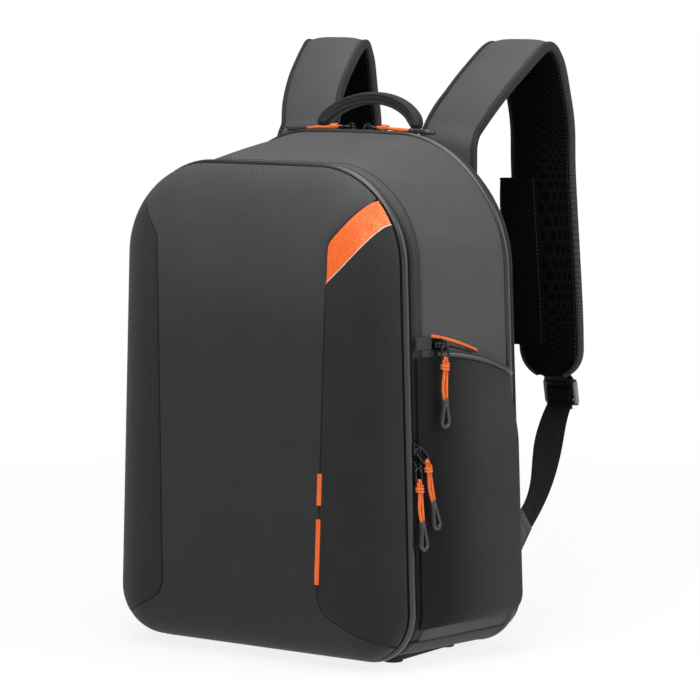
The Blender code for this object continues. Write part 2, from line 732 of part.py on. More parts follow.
def pocket_out(share, up):
    """How far the pocket stands off the body: flat in front, full towards the rear, with a round rear edge."""
    rise = smooth((share - POCKET_RISE_START) / (POCKET_RISE_END - POCKET_RISE_START))
    fall = max(0.0, (share - POCKET_ROUND_START) / (1 - POCKET_ROUND_START))
    rear = math.sqrt(max(0.0, 1 - fall * fall))
    height = pocket_top(share) - POCKET_FLOOR
    foot_share = min(1.0, up * height / POCKET_FOOT_ROUND)
    bottom = math.sqrt(1 - (1 - foot_share) ** 2)
    mouth = mix(1.0, POCKET_MOUTH, smooth((up - POCKET_MOUTH_START) / (1 - POCKET_MOUTH_START)))
    return POCKET_LIP + POCKET_PROUD * rise * rear * bottom * mouth


def pocket_point(share, up, sunk=0.0):
    y = mix(POCKET_FRONT_Y, POCKET_REAR_Y, share)
    z = mix(POCKET_FLOOR, pocket_top(share), up)
    return Vector((side_x(y, z) + max(pocket_out(share, up) - sunk, CLEAR), y, z))


def pocket_bead_point(share):
    edge = pocket_point(share, 1.0)
    y = edge.y
    z = edge.z + POCKET_BEAD + CLEAR
    return Vector((max(edge.x - POCKET_SHEET / 2, side_x(y, z) + POCKET_BEAD + CLEAR), y, z))


def on_side(y, z, out):
    return Vector((side_x(y, z) + out, y, z))


def accent_line(share):
    """Height of the cord above the pocket's zip, which runs down to the bead."""
    y = mix(POCKET_FRONT_Y + POCKET_ZIP_START, POCKET_FRONT_Y + POCKET_ZIP_END, share)
    run = (y - POCKET_FRONT_Y) / (POCKET_REAR_Y - POCKET_FRONT_Y)
    seat = pocket_bead_point(run).z + POCKET_BEAD + ACCENT_CORD + 2 * CLEAR
    return y, seat + mix(ACCENT_CORD_RISE, ACCENT_CORD_END_RISE, share)


def pocket_zip_lines(share):
    """The lower and upper edge of the pocket's zip tape at a share of its run."""
    y, cord = accent_line(share)
    run = (y - POCKET_FRONT_Y) / (POCKET_REAR_Y - POCKET_FRONT_Y)
    low = pocket_bead_point(run).z + POCKET_BEAD + CLEAR
    return y, low, cord - ACCENT_CORD - CLEAR


def mirror(points, side):
    return [(side * point[0], point[1], point[2]) for point in points]


def pockets(carrier, finishes):
    for name, side in (("right", 1), ("left", -1)):
        rings = []
        for up in POCKET_ROWS:
            outer = [pocket_point(share, up) for share in POCKET_COLUMNS]
            inner = [pocket_point(share, up, POCKET_SHEET) for share in reversed(POCKET_COLUMNS)]
            rings.append(mirror(outer + inner, side))
        add(f"{name}_pocket", mesh_from("pocket", *tube(rings)), finishes["pocket"], carrier)
        beaded = [share for share in POCKET_COLUMNS if share >= POCKET_BEAD_START]
        path = [Vector(point) for point in mirror([pocket_bead_point(share) for share in beaded], side)]
        add(f"{name}_pocket_bead", mesh_from("bead", *wire(path, Vector((side, 0, 0)), POCKET_BEAD)),
            finishes["piping"], carrier)

    rings = []
    steps = 6
    for step in range(steps + 1):
        y, low, high = pocket_zip_lines(0.9 * step / steps)
        rings.append([on_side(y, low, CLEAR), on_side(y, high, CLEAR), on_side(y, high, CLEAR + TAPE),
                      on_side(y, low, CLEAR + TAPE)])
    add("right_pocket_zip", mesh_from("zip", *tube(rings)), finishes["zip"], carrier)
    cord = []
    for step in range(steps + 1):
        y, z = accent_line(step / steps)
        cord.append(on_side(y, z, ACCENT_CORD + CLEAR))
    add("right_pocket_accent_cord", mesh_from("cord", *wire(cord, Vector((1, 0, 0)), ACCENT_CORD)),
        finishes["orange"], carrier)
    y = pocket_zip_lines(0.0)[0]
    low = pocket_bead_point(0.0).z + POCKET_BEAD + 2 * CLEAR
    rings = []
    for z in (low, low + POCKET_TAB_TALL):
        front = GUSSET_FRONT_Y + 2 * CLEAR
        rear = y - CLEAR
        thick = CLEAR + 2 * TAPE
        rings.append([on_side(front, z, CLEAR), on_side(rear, z, CLEAR), on_side(rear, z, thick),
                      on_side(front, z, thick)])
    add("right_pocket_zip_tab", mesh_from("tab", *tube(rings)), finishes["zip"], carrier)


# Back panel, straps and handle

STRAP_PROFILE = (
    (-1.0, -0.35), (-0.93, -0.8), (-0.6, -1.0), (0.0, -1.0), (0.6, -1.0), (0.93, -0.8), (1.0, -0.35),
    (1.0, 0.35), (0.93, 0.8), (0.6, 1.0), (0.0, 1.0), (-0.6, 1.0), (-0.93, 0.8), (-1.0, 0.35))
FLAT_PROFILE = ((-1.0, -1.0), (1.0, -1.0), (1.0, 1.0), (-1.0, 1.0))
HANDLE_PROFILE = (
    (-1.0, -0.4), (-0.75, -1.0), (0.75, -1.0), (1.0, -0.4), (1.0, 0.4), (0.75, 1.0), (-0.75, 1.0), (-1.0, 0.4))


def cushion(low_x, high_x, low_z, high_z):
    """A pad on the back panel with drawn-in sides and a crown."""
    start = BACK_REAR_Y + CLEAR
    layers = ((0.0025, 0.0), (0.0, 0.35), (0.003, 0.65), (0.010, 0.85), (0.017, 0.95))
    rings = []
    for inset, share in layers:
        plan = rounded_rectangle(low_x + inset, high_x - inset, low_z + inset, high_z - inset,
                                 PAD_ROUND - inset)
        rings.append([(p.x, start + share * PAD_THICK, p.y) for p in plan])
    return tube(rings)


def strap_stations():
    """(x, y, z, width, thickness) along the right strap, from its sewn end to the loop that holds the lock."""
    stations = []
    seat = BACK_REAR_Y + CLEAR + STRAP_BASE_THICK / 2
    for above in (STRAP_SEWN_LOW, STRAP_SEWN_TOP):
        stations.append((STRAP_BASE_X, seat, REAR_TOP_Z + above, STRAP_BASE_WIDTH, STRAP_BASE_THICK))
    for index, (x, behind, above) in enumerate(STRAP_RISE):
        share = smooth(index / 3)
        stations.append((x, BACK_REAR_Y + behind, REAR_TOP_Z + above, mix(STRAP_BASE_WIDTH, STRAP_WIDTH, share),
                         mix(STRAP_BASE_THICK, STRAP_THICK, share)))
    return stations


def strap_route():
    """The stations joined by a smooth curve that stays clear of the back panel."""
    route = smooth_route(strap_stations(), 3)
    for row in route:
        row[1] = max(row[1], BACK_REAR_Y + CLEAR + row[4] / 2)
    return route


def strap(side):
    route = strap_route()
    x, behind, above = STRAP_END
    end = Vector((x, BACK_REAR_Y + behind, REAR_TOP_Z + above))
    last = Vector(route[-1][:3])
    for share in (0.35, 0.65, 0.85, 0.96):
        spot = last.lerp(end, share)
        width = STRAP_WIDTH * math.sqrt(1 - (0.85 * share) ** 2)
        route.append([*spot, max(width, WEB_WIDTH), mix(STRAP_THICK, STRAP_BASE_THICK, share)])
    route.append([*end, WEB_WIDTH, STRAP_LOOP])
    bar = LOCK_AXIS - Vector((0, LOCK_THICK / 2 + STRAP_LOOP / 2 + 2 * CLEAR, 0))
    for share in (0.5, 1.0):
        route.append([*end.lerp(bar, share), WEB_WIDTH, STRAP_LOOP])
    centres = [Vector((side * row[0], row[1], row[2])) for row in route]
    across = [Vector((1, 0, 0))] * len(route)
    return ribbon(centres, [row[3] for row in route], [row[4] for row in route], across, STRAP_PROFILE)


def strap_flap():
    """A flat pocket on the strap's inner face that overhangs its inner edge."""
    route = strap_route()
    first, last = (round(3 * station) for station in FLAP_STATIONS)
    centres = []
    for x, y, z, width, thick in route[first:last + 1]:
        centre_x = x - width / 2 - FLAP_OVERHANG + FLAP_WIDTH / 2
        centres.append(Vector((centre_x, y - thick / 2 - FLAP_THICK / 2 - 2 * CLEAR, z)))
    count = len(centres)
    across = [Vector((1, 0, 0))] * count
    return ribbon(centres, [FLAP_WIDTH] * count, [FLAP_THICK] * count, across, FLAT_PROFILE)


def anchor_tab_ends():
    root = Vector((TAB_X, BACK_REAR_Y + CLEAR, BODY_FLOOR + TAB_HEIGHT))
    return root, root + Vector(TAB_REACH)


def anchor_tab(side):
    """A tab that narrows from its sewn edge on the back panel to the width of the webbing."""
    root, tip = anchor_tab_ends()
    out = Vector((TAB_THICK / 2, 0, 0))
    rings = []
    for share in (0.0, 0.25, 0.5, 0.75, 1.0):
        centre = root.lerp(tip, share)
        half = mix(TAB_TALL, WEB_WIDTH, share) / 2
        across = Vector((0, -share * TAB_REACH[2], TAB_REACH[1])).normalized() * half
        corners = [centre - across - out, centre - across + out, centre + across + out, centre + across - out]
        rings.append(mirror(corners, side))
    return tube(rings)


def webbing(side):
    """The strap's lower webbing, turned a quarter on its way from the anchor tab to the ladder lock."""
    tip = anchor_tab_ends()[1]
    lead = Vector(TAB_REACH).normalized()
    start = tip + lead * 2 * CLEAR
    drop = 2 * LOCK_BAR + 2 * LOCK_SLOT
    down = Vector((0, math.sin(LOCK_LEAN), -math.cos(LOCK_LEAN)))
    front = Vector((0, -math.cos(LOCK_LEAN), -math.sin(LOCK_LEAN)))
    end = LOCK_AXIS + down * drop + front * (LOCK_THICK / 2 + WEB_THICK + CLEAR)
    steps = 18
    pull = (end - start).length / 3
    first = start + lead * pull
    second = end + Vector((0.1, -0.8, -0.6)).normalized() * pull
    centres = []
    across = []
    for step in range(steps + 1):
        t = step / steps
        rest = 1 - t
        point = start * rest ** 3 + first * 3 * t * rest ** 2 + second * 3 * t * t * rest + end * t ** 3
        centres.append(Vector((side * point.x, point.y, point.z)))
        turn = smooth(t) * math.pi / 2
        upright = Vector((0, -TAB_REACH[2], TAB_REACH[1])).normalized() * math.cos(turn)
        across.append(upright + Vector((side * math.sin(turn), 0, 0)))
    count = len(centres)
    return ribbon(centres, [WEB_WIDTH] * count, [WEB_THICK] * count, across, FLAT_PROFILE)


def sleeve():
    """A laptop sleeve on the inner face of the back panel, open at its top."""
    rear = BACK_FRONT_Y - CLEAR
    front = rear - SLEEVE_DEPTH
    outer = brick((-SLEEVE_HALF_WIDTH, front, SLEEVE_FLOOR), (SLEEVE_HALF_WIDTH, rear, SLEEVE_TOP))
    room = SLEEVE_HALF_WIDTH - SLEEVE_WALL
    inner = brick((-room, front + SLEEVE_WALL, SLEEVE_FLOOR + SLEEVE_WALL),
                  (room, rear + SLEEVE_WALL, 2 * SLEEVE_TOP))
    return combined("sleeve", mesh_from("outer", *outer), ("DIFFERENCE", mesh_from("inner", *inner)))


def back_panel(carrier, finishes):
    edge = BACK_EDGE
    layers = ((edge / 2, BACK_FRONT_Y), (0.0, BACK_FRONT_Y + edge / 2), (0.0, BACK_REAR_Y - edge),
              (edge * 0.3, BACK_REAR_Y - edge * 0.3), (edge, BACK_REAR_Y))
    rings = [[(p.x, y, p.y) for p in outline(1.0, inset)] for inset, y in layers]
    add("back_panel", mesh_from("back", *tube(rings)), finishes["gusset"], carrier)
    pads = (("right_back_pad", PAD_INNER, PAD_OUTER, PAD_LOW, PAD_TOP),
            ("left_back_pad", -PAD_OUTER, -PAD_INNER, PAD_LOW, PAD_TOP),
            ("lumbar_pad", -LUMBAR_HALF_WIDTH, LUMBAR_HALF_WIDTH, LUMBAR_LOW, LUMBAR_TOP))
    for name, *sides in pads:
        add(name, mesh_from(name, *cushion(*sides)), finishes["mesh"], carrier)
    zip_edge = REAR_ZIP_Y + CLEAR / 2
    face = BACK_FRONT_Y - CLEAR
    profile = [(zip_edge, COIL_TOP, 1.0), (face, COIL_TOP, 1.0), (face, ZIP_SUNK + TAPE_LAP, 1.0),
               (face - TAPE, ZIP_SUNK + TAPE_LAP, 1.0), (face - TAPE, ZIP_SUNK + TAPE, 1.0),
               (zip_edge, ZIP_SUNK + TAPE, 1.0)]
    add("rear_zip_panel_side", mesh_from("zip", *belt(profile, RIGHT_SIDE_LOW, LEFT_SIDE_LOW)), finishes["zip"],
        carrier)
    add("laptop_sleeve", sleeve(), finishes["liner"], carrier)
    for name, side in (("right", 1), ("left", -1)):
        add(f"{name}_strap", mesh_from("strap", *strap(side)), finishes["strap"], carrier)
        add(f"{name}_anchor_tab", mesh_from("tab", *anchor_tab(side)), finishes["gusset"], carrier)
        add(f"{name}_webbing", mesh_from("webbing", *webbing(side)), finishes["webbing"], carrier)
    add("right_strap_flap", mesh_from("flap", *strap_flap()), finishes["mesh"], carrier)


def ladder_lock():
    """A buckle frame with three bars, hanging from the middle of its top bar."""
    half = LOCK_WIDTH / 2
    top = LOCK_BAR / 2
    plan = rounded_rectangle(-half, half, top - LOCK_TALL, top, LOCK_BAR, 3)
    frame = mesh_from("frame", *prism(plan, -LOCK_THICK / 2, LOCK_THICK / 2))
    slots = []
    room = half - LOCK_SIDE
    for index in range(2):
        high = -top - index * (LOCK_BAR + LOCK_SLOT)
        slot = brick((-room, -LOCK_THICK, high - LOCK_SLOT), (room, LOCK_THICK, high))
        slots.append(("DIFFERENCE", mesh_from("slot", *slot)))
    return combined("lock", frame, *slots)


def handle_seat():
    """Depth and height of the handle's sewn ends on the arched top edge."""
    drop = REAR_ARCH * (HANDLE_HALF_SPAN / REAR_TOP_HALF_WIDTH) ** 2
    return BACK_FRONT_Y + HANDLE_SETBACK + HANDLE_WIDTH / 2 - GROOVE_HALF, REAR_TOP_Z - drop + HANDLE_ROOT_GAP


def handle():
    """A padded arch that leans back from the top edge of the back panel, with narrow sewn ends."""
    y, base = handle_seat()
    steps = 16
    path = [Vector((HANDLE_HALF_SPAN, y, base))]
    for step in range(steps + 1):
        angle = math.pi * step / steps
        rise = HANDLE_THICK / 2 + (HANDLE_RISE - HANDLE_THICK) * math.sin(angle) ** 0.75
        path.append(Vector((HANDLE_HALF_SPAN * math.cos(angle), y + rise * math.tan(HANDLE_LEAN), base + rise)))
    path.append(Vector((-HANDLE_HALF_SPAN, y, base)))
    count = len(path)
    widths = [HANDLE_ROOT, mix(HANDLE_ROOT, HANDLE_WIDTH, 0.6)] + [HANDLE_WIDTH] * (count - 4)
    widths += [mix(HANDLE_ROOT, HANDLE_WIDTH, 0.6), HANDLE_ROOT]
    return ribbon(path, widths, [HANDLE_THICK] * count, [Vector((0, 1, 0))] * count, HANDLE_PROFILE)


# Sliders and pulls, drawn with x outwards from the zip, z along it, and the pull hanging towards -z

def slider(eye_turned):
    """A tapered body on the coil with a bridge whose eye lies across the zip, or along it when turned."""
    half = GROOVE_HALF - SLIDER_PLAY
    layers = []
    levels = ((-SLIDER_BASE, SLIDER_LENGTH, half), (SLIDER_PROUD, 0.8 * SLIDER_LENGTH, 0.85 * half))
    for x, length, width in levels:
        nose = length / 2
        waist = 0.7 * width
        layers.append([(x, -waist, -nose), (x, waist, -nose), (x, width, nose * 0.2), (x, width * 0.75, nose),
                       (x, -width * 0.75, nose), (x, -width, nose * 0.2)])
    shape = mesh_from("slider", *tube(layers))
    foot_x = SLIDER_PROUD - CLEAR
    top = EYE_OUT + EYE_HALF + EYE_BAR
    reach = EYE_HALF + 2 * EYE_BAR
    arch = [(-reach, foot_x), (reach, foot_x), (reach * 0.85, EYE_OUT), (EYE_HALF, top), (-EYE_HALF, top),
            (-reach * 0.85, EYE_OUT)]
    hole = [(-EYE_HALF, EYE_OUT - EYE_HALF + CLEAR), (EYE_HALF, EYE_OUT - EYE_HALF + CLEAR),
            (EYE_HALF, EYE_OUT + EYE_HALF), (-EYE_HALF, EYE_OUT + EYE_HALF)]
    bridge = combined("bridge", mesh_from("arch", *across_zip(arch, EYE_HALF_WIDTH)),
                      ("DIFFERENCE", mesh_from("hole", *across_zip(hole, 2 * EYE_HALF_WIDTH))))
    if eye_turned:
        bridge.transform(Matrix.Rotation(math.pi / 2, 4, "X"))
    return combined("slider", shape, ("UNION", bridge))


def across_zip(polygon, half_width):
    """An outline of (along, outwards) corners as a prism across the zip."""
    return tube([[(x, y, z) for z, x in polygon] for y in (-half_width, half_width)])


def pull_cord(ring_length=RING_LENGTH, ring_lean=0.0):
    """A wire ring through the slider's eye, leaning off the line of the doubled cord that is looped on it."""
    bend = RING_HALF_WIDTH / 2
    ring = [Vector((0, p.x, p.y)) for p in
            rounded_rectangle(-RING_HALF_WIDTH, RING_HALF_WIDTH, -ring_length, 0.0, bend, 2)]
    wire_ring = mesh_from("ring", *wire(ring, Vector((1, 0, 0)), RING_WIRE, closed=True))
    wire_ring.transform(Matrix.Rotation(ring_lean, 4, "X"))
    apart = CORD_RADIUS + 0.75 * CLEAR
    middle = ring_length * math.sin(ring_lean)
    loop_z = -ring_length * math.cos(ring_lean) - CORD_RADIUS + apart
    low = loop_z - CORD_LENGTH
    halfway = loop_z - CORD_LENGTH / 2
    path = [Vector((0, middle - apart, low)), Vector((0, middle - apart, halfway))]
    for step in range(5):
        angle = math.pi * (1 - step / 4)
        path.append(Vector((0, middle + apart * math.cos(angle), loop_z - apart + apart * math.sin(angle))))
    path += [Vector((0, middle + apart, halfway)), Vector((0, middle + apart, low))]
    cord = mesh_from("cord", *wire(path, Vector((1, 0, 0)), CORD_RADIUS))
    return combined("pull", wire_ring, ("UNION", cord)), (middle, low)


def pull_grip(cord_end):
    """A moulded collar that ends the cord, with a drop-shaped loop below it."""
    middle, top = cord_end
    start = top - CLEAR
    sides = 8
    rings = []
    for radius, z in ((0.8, start), (1.0, start - GRIP_COLLAR_LONG * 0.3), (0.75, start - GRIP_COLLAR_LONG)):
        turns = [2 * math.pi * (k + 0.5) / sides for k in range(sides)]
        rings.append([(radius * GRIP_COLLAR_THICK * math.cos(turn), radius * GRIP_COLLAR * math.sin(turn), z)
                      for turn in turns])
    collar = mesh_from("collar", *tube(rings))
    high = start - GRIP_COLLAR_LONG / 2
    apart = GRIP_WIRE + CLEAR
    round_z = high - GRIP_LENGTH + GRIP_HALF_WIDTH
    path = [Vector((0, -apart, high))]
    steps = 8
    for step in range(steps + 1):
        angle = math.radians(mix(170, 370, step / steps))
        path.append(Vector((0, GRIP_HALF_WIDTH * math.cos(angle), round_z + GRIP_HALF_WIDTH * math.sin(angle))))
    path.append(Vector((0, apart, high)))
    loop = mesh_from("loop", *wire(path, Vector((1, 0, 0)), GRIP_WIRE))
    grip = combined("grip", loop, ("UNION", collar))
    grip.transform(Matrix.Translation((0, middle, 0)))
    return grip


def lifted(axes, angle):
    """The axes of a pull swung outwards by an angle."""
    out, across, along = axes
    return (out * math.cos(angle) + along * math.sin(angle), across,
            along * math.cos(angle) - out * math.sin(angle))


def zip_sliders(carrier, finishes):
    join = corner_centres(FRONT_SECTION, 0.0)[4]
    out = Vector((math.cos(join), 0, math.sin(join)))
    up = Vector((-math.sin(join), 0, math.cos(join)))
    rear = Vector((0, 1, 0))
    upper_z = FRONT_SLIDER_Z
    lower_z = FRONT_SLIDER_Z - SLIDER_LENGTH - SLIDER_APART
    top_z = REAR_TOP_Z - REAR_ARCH * (TOP_SLIDER_X / REAR_TOP_HALF_WIDTH) ** 2
    right = Vector((1, 0, 0))
    sky = Vector((0, 0, 1))
    y, zip_low, zip_high = pocket_zip_lines(0.12)
    pocket_z = (zip_low + zip_high) / 2
    pocket_at = on_side(y, pocket_z, SLIDER_BASE + TAPE + 3 * CLEAR)
    nose = SLIDER_LENGTH / 2
    along = (on_side(y + nose, pocket_z, 0) - on_side(y - nose, pocket_z, 0)).normalized()
    off_side = along.cross(Vector((0, 0, 1)))
    leaning = (out, rear * math.cos(UPPER_CORD_LEAN) + up * math.sin(UPPER_CORD_LEAN),
               up * math.cos(UPPER_CORD_LEAN) - rear * math.sin(UPPER_CORD_LEAN))
    places = (
        ("front_upper", (out, rear, up), Vector((side_x(FRONT_ZIP_Y, upper_z), FRONT_ZIP_Y, upper_z)),
         lifted(leaning, UPPER_PULL_LIFT), False),
        ("front_lower", (out, -rear, -up), Vector((side_x(FRONT_ZIP_Y, lower_z), FRONT_ZIP_Y, lower_z)),
         lifted((out, rear, up), LOWER_PULL_LIFT), False),
        ("top_right", (sky, rear, -right), Vector((TOP_SLIDER_X, REAR_ZIP_Y, top_z)),
         lifted((sky, rear, -right), -TOP_PULL_DIP), False),
        ("top_left", (sky, -rear, right), Vector((-TOP_SLIDER_X, REAR_ZIP_Y, top_z)),
         lifted((sky, -rear, right), -TOP_PULL_DIP), False),
        ("right_pocket", (off_side, -sky, along), pocket_at, (off_side, along, sky), True),
    )
    for name, axes, at, pull_axes, eye_turned in places:
        if name == "front_upper":
            cord, cord_end = pull_cord(UPPER_RING_LENGTH, UPPER_RING_LEAN - UPPER_CORD_LEAN)
        else:
            cord, cord_end = pull_cord()
        grip = pull_grip(cord_end)
        holder = pivot(f"{name}_slider_place", carrier, axes, at)
        add(f"{name}_slider", slider(eye_turned), finishes["metal"], holder, in_body_frame=False)
        swing = pivot(f"{name}_pull_pivot", holder, pull_axes, at + axes[0] * EYE_OUT)
        add(f"{name}_pull_cord", cord, finishes["orange"], swing, in_body_frame=False)
        add(f"{name}_pull_grip", grip, finishes["grip"], swing, in_body_frame=False)


def main():
    clear_scene()
    finishes = {
        "gusset": finish("coated_twill", (0.085, 0.085, 0.088), 0.62),
        "shell": finish("shell_fabric", (0.045, 0.045, 0.047), 0.55),
        "liner": finish("foam_lining", (0.03, 0.03, 0.032), 0.85),
        "orange": finish("orange_trim", (0.95, 0.2, 0.045), 0.45),
        "piping": finish("piping", (0.075, 0.075, 0.078), 0.5),
        "zip": finish("zip_tape", (0.012, 0.012, 0.013), 0.7),
        "pocket": finish("stretch_fabric", (0.04, 0.04, 0.042), 0.75),
        "mesh": finish("air_mesh", (0.012, 0.012, 0.013), 0.9),
        "strap": finish("strap_fabric", (0.07, 0.07, 0.073), 0.65),
        "webbing": finish("webbing", (0.02, 0.02, 0.021), 0.7),
        "metal": finish("black_metal", (0.03, 0.03, 0.032), 0.35, 1.0),
        "grip": finish("grip_rubber", (0.08, 0.08, 0.085), 0.5),
        "plastic": finish("buckle_plastic", (0.03, 0.03, 0.031), 0.4),
        "rubber": finish("base_rubber", (0.02, 0.02, 0.021), 0.7),
    }
    whole = pivot("backpack", None)
    body(whole, finishes)
    inside(whole, finishes)
    pockets(whole, finishes)

    join = corner_centres(FRONT_SECTION, 0.0)[4]
    hinge_z = (BODY_FLOOR + FRONT_HEIGHT) / 2
    hinge_axes = (Vector((math.cos(join), 0, -math.sin(join))), Vector((0, 1, 0)),
                  Vector((math.sin(join), 0, math.cos(join))))
    shell_hinge = pivot("front_shell_hinge", whole, hinge_axes,
                        (-side_x(FRONT_ZIP_Y, hinge_z), FRONT_ZIP_Y, hinge_z))
    front_shell(shell_hinge, finishes)

    back_hinge = pivot("back_panel_hinge", whole, at=(0, REAR_ZIP_Y, BODY_FLOOR))
    back_panel(back_hinge, finishes)
    handle_hinge = pivot("grab_handle_hinge", back_hinge, at=(0, *handle_seat()))
    add("grab_handle", mesh_from("handle", *handle()), finishes["strap"], handle_hinge)
    lean = (Vector((1, 0, 0)), Vector((0, math.cos(LOCK_LEAN), math.sin(LOCK_LEAN))),
            Vector((0, -math.sin(LOCK_LEAN), math.cos(LOCK_LEAN))))
    for name, side in (("right", 1), ("left", -1)):
        tilt = pivot(f"{name}_lock_tilt", back_hinge, lean, (side * LOCK_AXIS.x, LOCK_AXIS.y, LOCK_AXIS.z))
        add(f"{name}_ladder_lock", ladder_lock(), finishes["plastic"], tilt, in_body_frame=False)
    zip_sliders(whole, finishes)
    whole.location = (0, BODY_Y, 0)


main()
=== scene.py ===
"""Looks of the hard-front backpack: each fabric piece, zip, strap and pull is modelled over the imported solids."""

import logging
import math
from collections.abc import Callable, Sequence
from dataclasses import dataclass, field
from enum import Enum
from functools import cached_property

import bpy
import numpy as np
from mathutils import Matrix, Vector


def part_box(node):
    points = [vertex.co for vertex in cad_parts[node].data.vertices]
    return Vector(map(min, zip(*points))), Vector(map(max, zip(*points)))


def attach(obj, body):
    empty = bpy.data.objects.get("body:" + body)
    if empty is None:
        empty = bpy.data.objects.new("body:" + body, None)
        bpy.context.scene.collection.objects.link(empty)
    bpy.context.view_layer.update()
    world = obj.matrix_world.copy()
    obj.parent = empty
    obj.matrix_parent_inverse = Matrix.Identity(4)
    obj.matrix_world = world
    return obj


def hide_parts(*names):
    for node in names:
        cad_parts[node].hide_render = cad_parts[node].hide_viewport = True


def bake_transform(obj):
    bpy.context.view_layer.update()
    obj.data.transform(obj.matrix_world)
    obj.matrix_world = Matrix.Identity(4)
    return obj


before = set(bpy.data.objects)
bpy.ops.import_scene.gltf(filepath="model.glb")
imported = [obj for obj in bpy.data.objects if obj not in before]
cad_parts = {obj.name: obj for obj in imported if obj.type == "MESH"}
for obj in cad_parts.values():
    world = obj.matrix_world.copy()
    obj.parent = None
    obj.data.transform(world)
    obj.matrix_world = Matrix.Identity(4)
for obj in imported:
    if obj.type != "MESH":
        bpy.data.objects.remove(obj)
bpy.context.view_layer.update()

log = logging.getLogger("backpack")
Array = np.ndarray
Piece = bpy.types.Object
Curve = Callable[[Array], Array]
RIGHTWARD, REARWARD, UPWARD = np.eye(3)


class Body(str, Enum):
    """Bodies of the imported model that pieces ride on."""

    PACK = "pack_body"
    SHELL = "front_shell"
    BACK = "back_panel"
    HANDLE = "grab_handle"


class Side(Enum):
    """The two sides of the bag as seen from the front."""

    RIGHT = 1
    LEFT = -1

    @property
    def word(self) -> str:
        """The side's name as the nodes spell it."""
        return self.name.lower()

    @property
    def flip(self) -> Array:
        """Factors that carry the right side's points to this side."""
        return np.array([self.value, 1, 1])


# Numbers and paths


def mix(start: float | Array, end: float | Array, share: float | Array) -> float | Array:
    """Blend of two values by a share."""
    return start + (end - start) * share


def smooth(share: float | Array) -> float | Array:
    """Soft step from 0 to 1."""
    share = np.clip(share, 0.0, 1.0)
    return share * share * (3 - 2 * share)


def unit(vectors: Array) -> Array:
    """Rows scaled to length 1."""
    return vectors / np.maximum(np.linalg.norm(vectors, axis=-1, keepdims=True), 1e-12)


def smooth_route(stations: Sequence[Sequence[float]], steps: int) -> Array:
    """A curve through stations that may hold any numbers.

    Args:
        stations: Rows of numbers that vary along the route.
        steps: Points from one station to the next.

    Returns:
        Rows along the curve, ending on the last station.
    """
    rows = np.array(stations, float)
    ends = np.vstack([rows[:1], rows, rows[-1:]])
    route = []
    for a, b, c, d in zip(ends, ends[1:], ends[2:], ends[3:]):
        for step in range(steps):
            t = step / steps
            route.append((2 * b + (c - a) * t + (2 * a - 5 * b + 4 * c - d) * t * t
                          + (3 * b - a - 3 * c + d) * t ** 3) / 2)
    return np.array([*route, rows[-1]])


def resampled(path: Array, count: int) -> Array:
    """The path as evenly spaced points.

    Args:
        path: Points of the path; more columns than three are carried along.
        count: How many points to return.

    Returns:
        The evenly spaced rows.
    """
    run = np.concatenate([[0.0], np.cumsum(np.linalg.norm(np.diff(path[:, :3], axis=0), axis=1))])
    at = np.linspace(0, run[-1], count)
    return np.stack([np.interp(at, run, path[:, k]) for k in range(path.shape[1])], axis=1)


def path_frames(path: Array, across: Array, loop: bool = False) -> tuple[Array, Array, Array]:
    """Directions ahead, across and up along a path.

    Args:
        path: Points of the path.
        across: A wished sideways direction, one for all or one each.
        loop: Whether the path closes on itself.

    Returns:
        Unit rows ahead, across and up.
    """
    if loop:
        ahead = unit(np.roll(path, -1, axis=0) - np.roll(path, 1, axis=0))
    else:
        ahead = unit(np.gradient(path, axis=0))
    across = np.broadcast_to(across, path.shape)
    side = unit(across - ahead * np.sum(across * ahead, axis=1, keepdims=True))
    return ahead, side, np.cross(ahead, side)


def oval(sides: int, power: float = 2.0) -> Array:
    """A round or squarish section as (across, up) shares.

    Args:
        sides: How many corners.
        power: 2 for a round one, higher for a squarer one.

    Returns:
        Rows of two shares from -1 to 1.
    """
    turn = np.arange(sides) * 2 * math.pi / sides
    shape = np.stack([np.cos(turn), np.sin(turn)], axis=1)
    return np.sign(shape) * np.abs(shape) ** (2 / power)


def ribbon_rings(path: Array, across: Array, widths: float | Array, thicknesses: float | Array, profile: Array,
                 loop: bool = False) -> Array:
    """Rings of a section carried along a path.

    Args:
        path: Points of the path.
        across: The direction of the section's width.
        widths: Full width at each point.
        thicknesses: Full thickness at each point.
        profile: Rows of (across, up) shares from -1 to 1.
        loop: Whether the path closes on itself.

    Returns:
        An array of rings, points and coordinates.
    """
    _, side, up = path_frames(path, across, loop)
    half_w = np.broadcast_to(np.asarray(widths, float) / 2, len(path))[:, None, None]
    half_t = np.broadcast_to(np.asarray(thicknesses, float) / 2, len(path))[:, None, None]
    return (path[:, None, :] + side[:, None, :] * half_w * profile[None, :, :1]
            + up[:, None, :] * half_t * profile[None, :, 1:])


# Modelling


